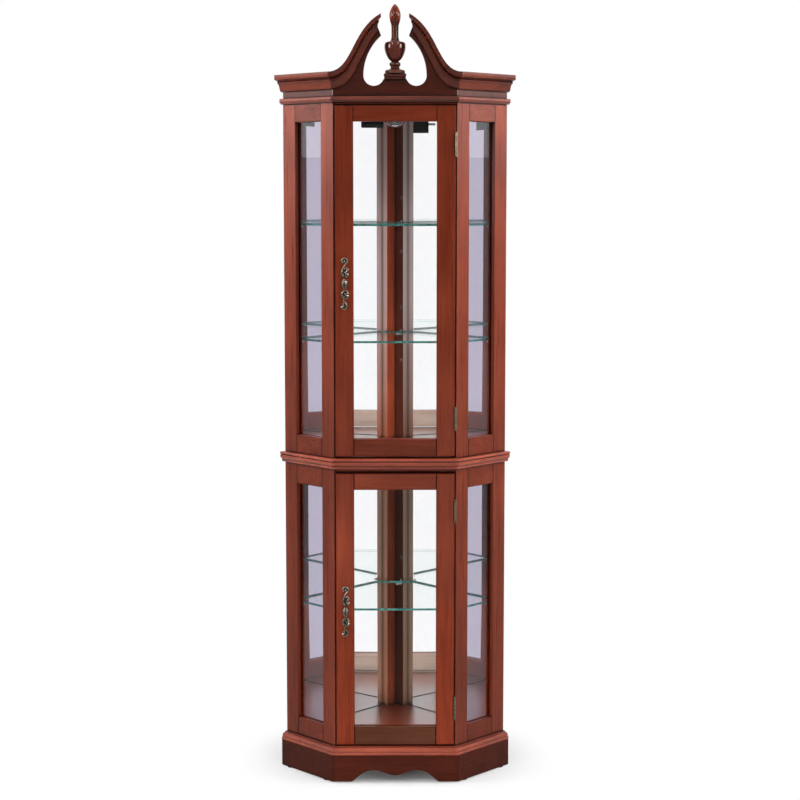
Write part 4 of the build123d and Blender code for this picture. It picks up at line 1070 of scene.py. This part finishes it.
def leaf(mesh):
    """A closed bud with a split middle, two lapped lobes and fine veins."""
    rings = []
    for i in range(LEAF_ROWS + 1):
        t = i / LEAF_ROWS
        z = LEAF_FOOT + (LEAF_TOP - LEAF_FOOT) * t
        swell = math.sin(math.pi * t**LEAF_BELLY) ** LEAF_FULLNESS if 0 < t < 1 else 0.0
        half = max(LEAF_TIP, LEAF_HALF * swell)
        deep = max(LEAF_TIP, LEAF_DEPTH * swell**LEAF_ROUNDNESS)
        ring = []
        for k in range(LEAF_SPOKES):
            angle = 2 * math.pi * k / LEAF_SPOKES
            x = half * math.sin(angle)
            out = deep * math.cos(angle)
            if out > 0:
                across = abs(x) / half
                split = math.exp(-((across / SPLIT_WIDTH) ** 2)) * SPLIT_DEPTH
                lobe = math.exp(-(((across - LOBE_PLACE) / LOBE_WIDTH) ** 2))
                vein = VEIN_DEPTH * math.cos(across * VEIN_PITCH - t * VEIN_SLANT)
                out += (lobe - split + vein) * swell
            ring.append((x, -(LEAF_OUT + out), z))
        rings.append(ring)
    skin(mesh, rings)


# Each rod as points of x, distance out from the door, height and thickness
PULL_RODS = [
    # top hook, then the long strand that swings left and ends in a curl on the right
    [(-4.6, 9.0, 50.2, 1.3), (-6.0, 9.6, 54.2, 1.8), (-1.8, 10.2, 58.2, 2.1), (3.6, 10.6, 56.6, 2.2),
     (5.4, 11.0, 51.6, 2.2), (2.8, 12.0, 46.2, 2.0), (-1.6, 13.0, 38.8, 2.0), (-4.9, 13.6, 30.0, 2.2),
     (-4.2, 13.8, 22.0, 2.2), (-0.2, 13.8, 17.2, 2.2), (4.6, 14.0, 17.8, 2.1), (7.0, 14.4, 21.4, 2.3)],
    # inner curl of the upper scroll
    [(-3.0, 13.4, 29.0, 1.2), (-0.4, 13.8, 34.2, 1.7), (3.4, 14.2, 35.6, 1.9), (6.6, 14.4, 32.6, 1.9),
     (5.6, 14.0, 29.4, 1.5)],
    # web behind the upper scroll
    [(-2.6, 12.0, 24.6, 1.6), (0.6, 12.0, 26.8, 1.6), (2.8, 12.0, 24.0, 1.5), (1.4, 12.0, 20.6, 1.5)],
    # neck into the leaf
    [(-1.2, 13.2, 17.6, 1.9), (-0.4, 13.4, 14.4, 1.9), (0.0, 13.4, 10.6, 2.0)],
    # lower scroll, open to the right
    [(6.6, 14.2, -19.8, 1.9), (5.2, 14.0, -16.4, 1.9), (0.8, 13.8, -15.4, 1.9), (-4.0, 13.8, -18.0, 2.0),
     (-5.6, 13.8, -23.4, 2.2), (-3.6, 13.8, -29.4, 2.2), (0.8, 13.8, -32.4, 2.2), (5.2, 14.0, -31.0, 2.1),
     (7.0, 14.2, -27.6, 2.2)],
    # web behind the lower scroll
    [(-2.4, 12.2, -20.6, 1.5), (1.0, 12.4, -22.4, 1.6), (2.4, 12.4, -25.4, 1.6), (0.4, 12.2, -28.0, 1.4)],
    # lower strand and the foot hook
    [(0.4, 13.6, -32.0, 2.0), (-1.4, 13.2, -37.0, 2.0), (-0.6, 12.6, -41.0, 2.1), (2.6, 11.8, -45.6, 2.2),
     (4.0, 11.0, -50.4, 2.2), (1.8, 10.6, -55.4, 2.2), (-2.8, 10.2, -56.8, 2.1), (-6.2, 9.8, -53.4, 2.0)],
    # branch between the lower strand and the foot hook
    [(-1.8, 12.2, -41.6, 1.5), (-3.4, 11.6, -46.4, 1.5), (-2.2, 10.8, -51.0, 1.6)],
]
# Knobs that the rods end in: x, out, z, radius
PULL_KNOBS = [
    (7.0, 14.6, 22.2, 2.7), (5.0, 14.4, 29.6, 1.9), (6.8, 14.4, -20.2, 2.3), (7.2, 14.4, -26.8, 2.5),
    (-6.4, 9.8, -52.6, 2.7), (-4.4, 9.4, 50.0, 2.0), (0.0, 7.0, 52.6, 3.4), (-0.6, 7.0, -51.6, 3.4),
]
# Thin dark webs that close the hollows of the scrolls: x, out, z, half width, half height
PULL_WEBS = [
    (-0.4, 9.2, 52.8, 4.6, 4.8), (0.4, 11.6, 27.6, 4.6, 8.6), (0.6, 11.6, -23.8, 4.8, 7.4),
    (-1.8, 9.4, -50.0, 4.4, 5.6),
]
WEB_HALF = 1.5
# Feet of the pull: their heights, and the distance out and thickness of each step
PULL_FEET = [52.0, -52.0]
FOOT_STEPS = [(1.6, 4.4), (2.6, 4.0), (3.6, 2.9), (6.0, 2.7), (8.6, 3.0)]
KNOB_SEGMENTS = 14
# Melting of the parts into one casting, in metres
CAST_VOXEL = 0.00042
CAST_SMOOTHING = 0.5
CAST_PASSES = 3
CAST_RATIO = 0.45


def cast_pull(name, node, body):
    """The scroll pull as one casting, where the CAD pull is."""
    mesh = bmesh.new()
    for rod in PULL_RODS:
        strand(mesh, rod)
    leaf(mesh)
    sphere = {"u_segments": KNOB_SEGMENTS, "v_segments": KNOB_SEGMENTS}
    for x, out, z, radius in PULL_KNOBS:
        place = Matrix.Translation((x, -out, z))
        bmesh.ops.create_uvsphere(mesh, radius=radius, matrix=place, **sphere)
    for x, out, z, half, high in PULL_WEBS:
        place = Matrix.Translation((x, -out, z)) @ Matrix.Diagonal((half, WEB_HALF, high, 1))
        bmesh.ops.create_uvsphere(mesh, radius=1, matrix=place, **sphere)
    for z in PULL_FEET:
        strand(mesh, [(0, out, z, radius) for out, radius in FOOT_STEPS])
    low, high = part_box(node)
    middle = Vector(((low.x + high.x) / 2, high.y, (low.z + high.z) / 2))
    bmesh.ops.transform(mesh, matrix=Matrix.Translation(middle) @ Matrix.Scale(MM, 4), verts=mesh.verts)
    data = bpy.data.meshes.new(name)
    mesh.to_mesh(data)
    mesh.free()
    piece = bpy.data.objects.new(name, data)
    bpy.context.scene.collection.objects.link(piece)
    data.materials.append(CASTING)
    melt = piece.modifiers.new("melt", "REMESH")
    melt.mode = "VOXEL"
    melt.voxel_size = CAST_VOXEL
    melt.use_smooth_shade = True
    smooth = piece.modifiers.new("soften", "SMOOTH")
    smooth.factor = CAST_SMOOTHING
    smooth.iterations = CAST_PASSES
    thin = piece.modifiers.new("thin", "DECIMATE")
    thin.ratio = CAST_RATIO
    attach(piece, body)
    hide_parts(node)


cast_pull("upper_pull_casting", "upper_door_pull", "upper_door")
cast_pull("lower_pull_casting", "lower_door_pull", "lower_door")

# Light passes through several panes and shelves and between both mirrors
cycles = bpy.context.scene.cycles
cycles.transparent_max_bounces = 32
cycles.glossy_bounces = 8
cycles.max_bounces = 16
bpy.context.scene.view_settings.view_transform = "Standard"
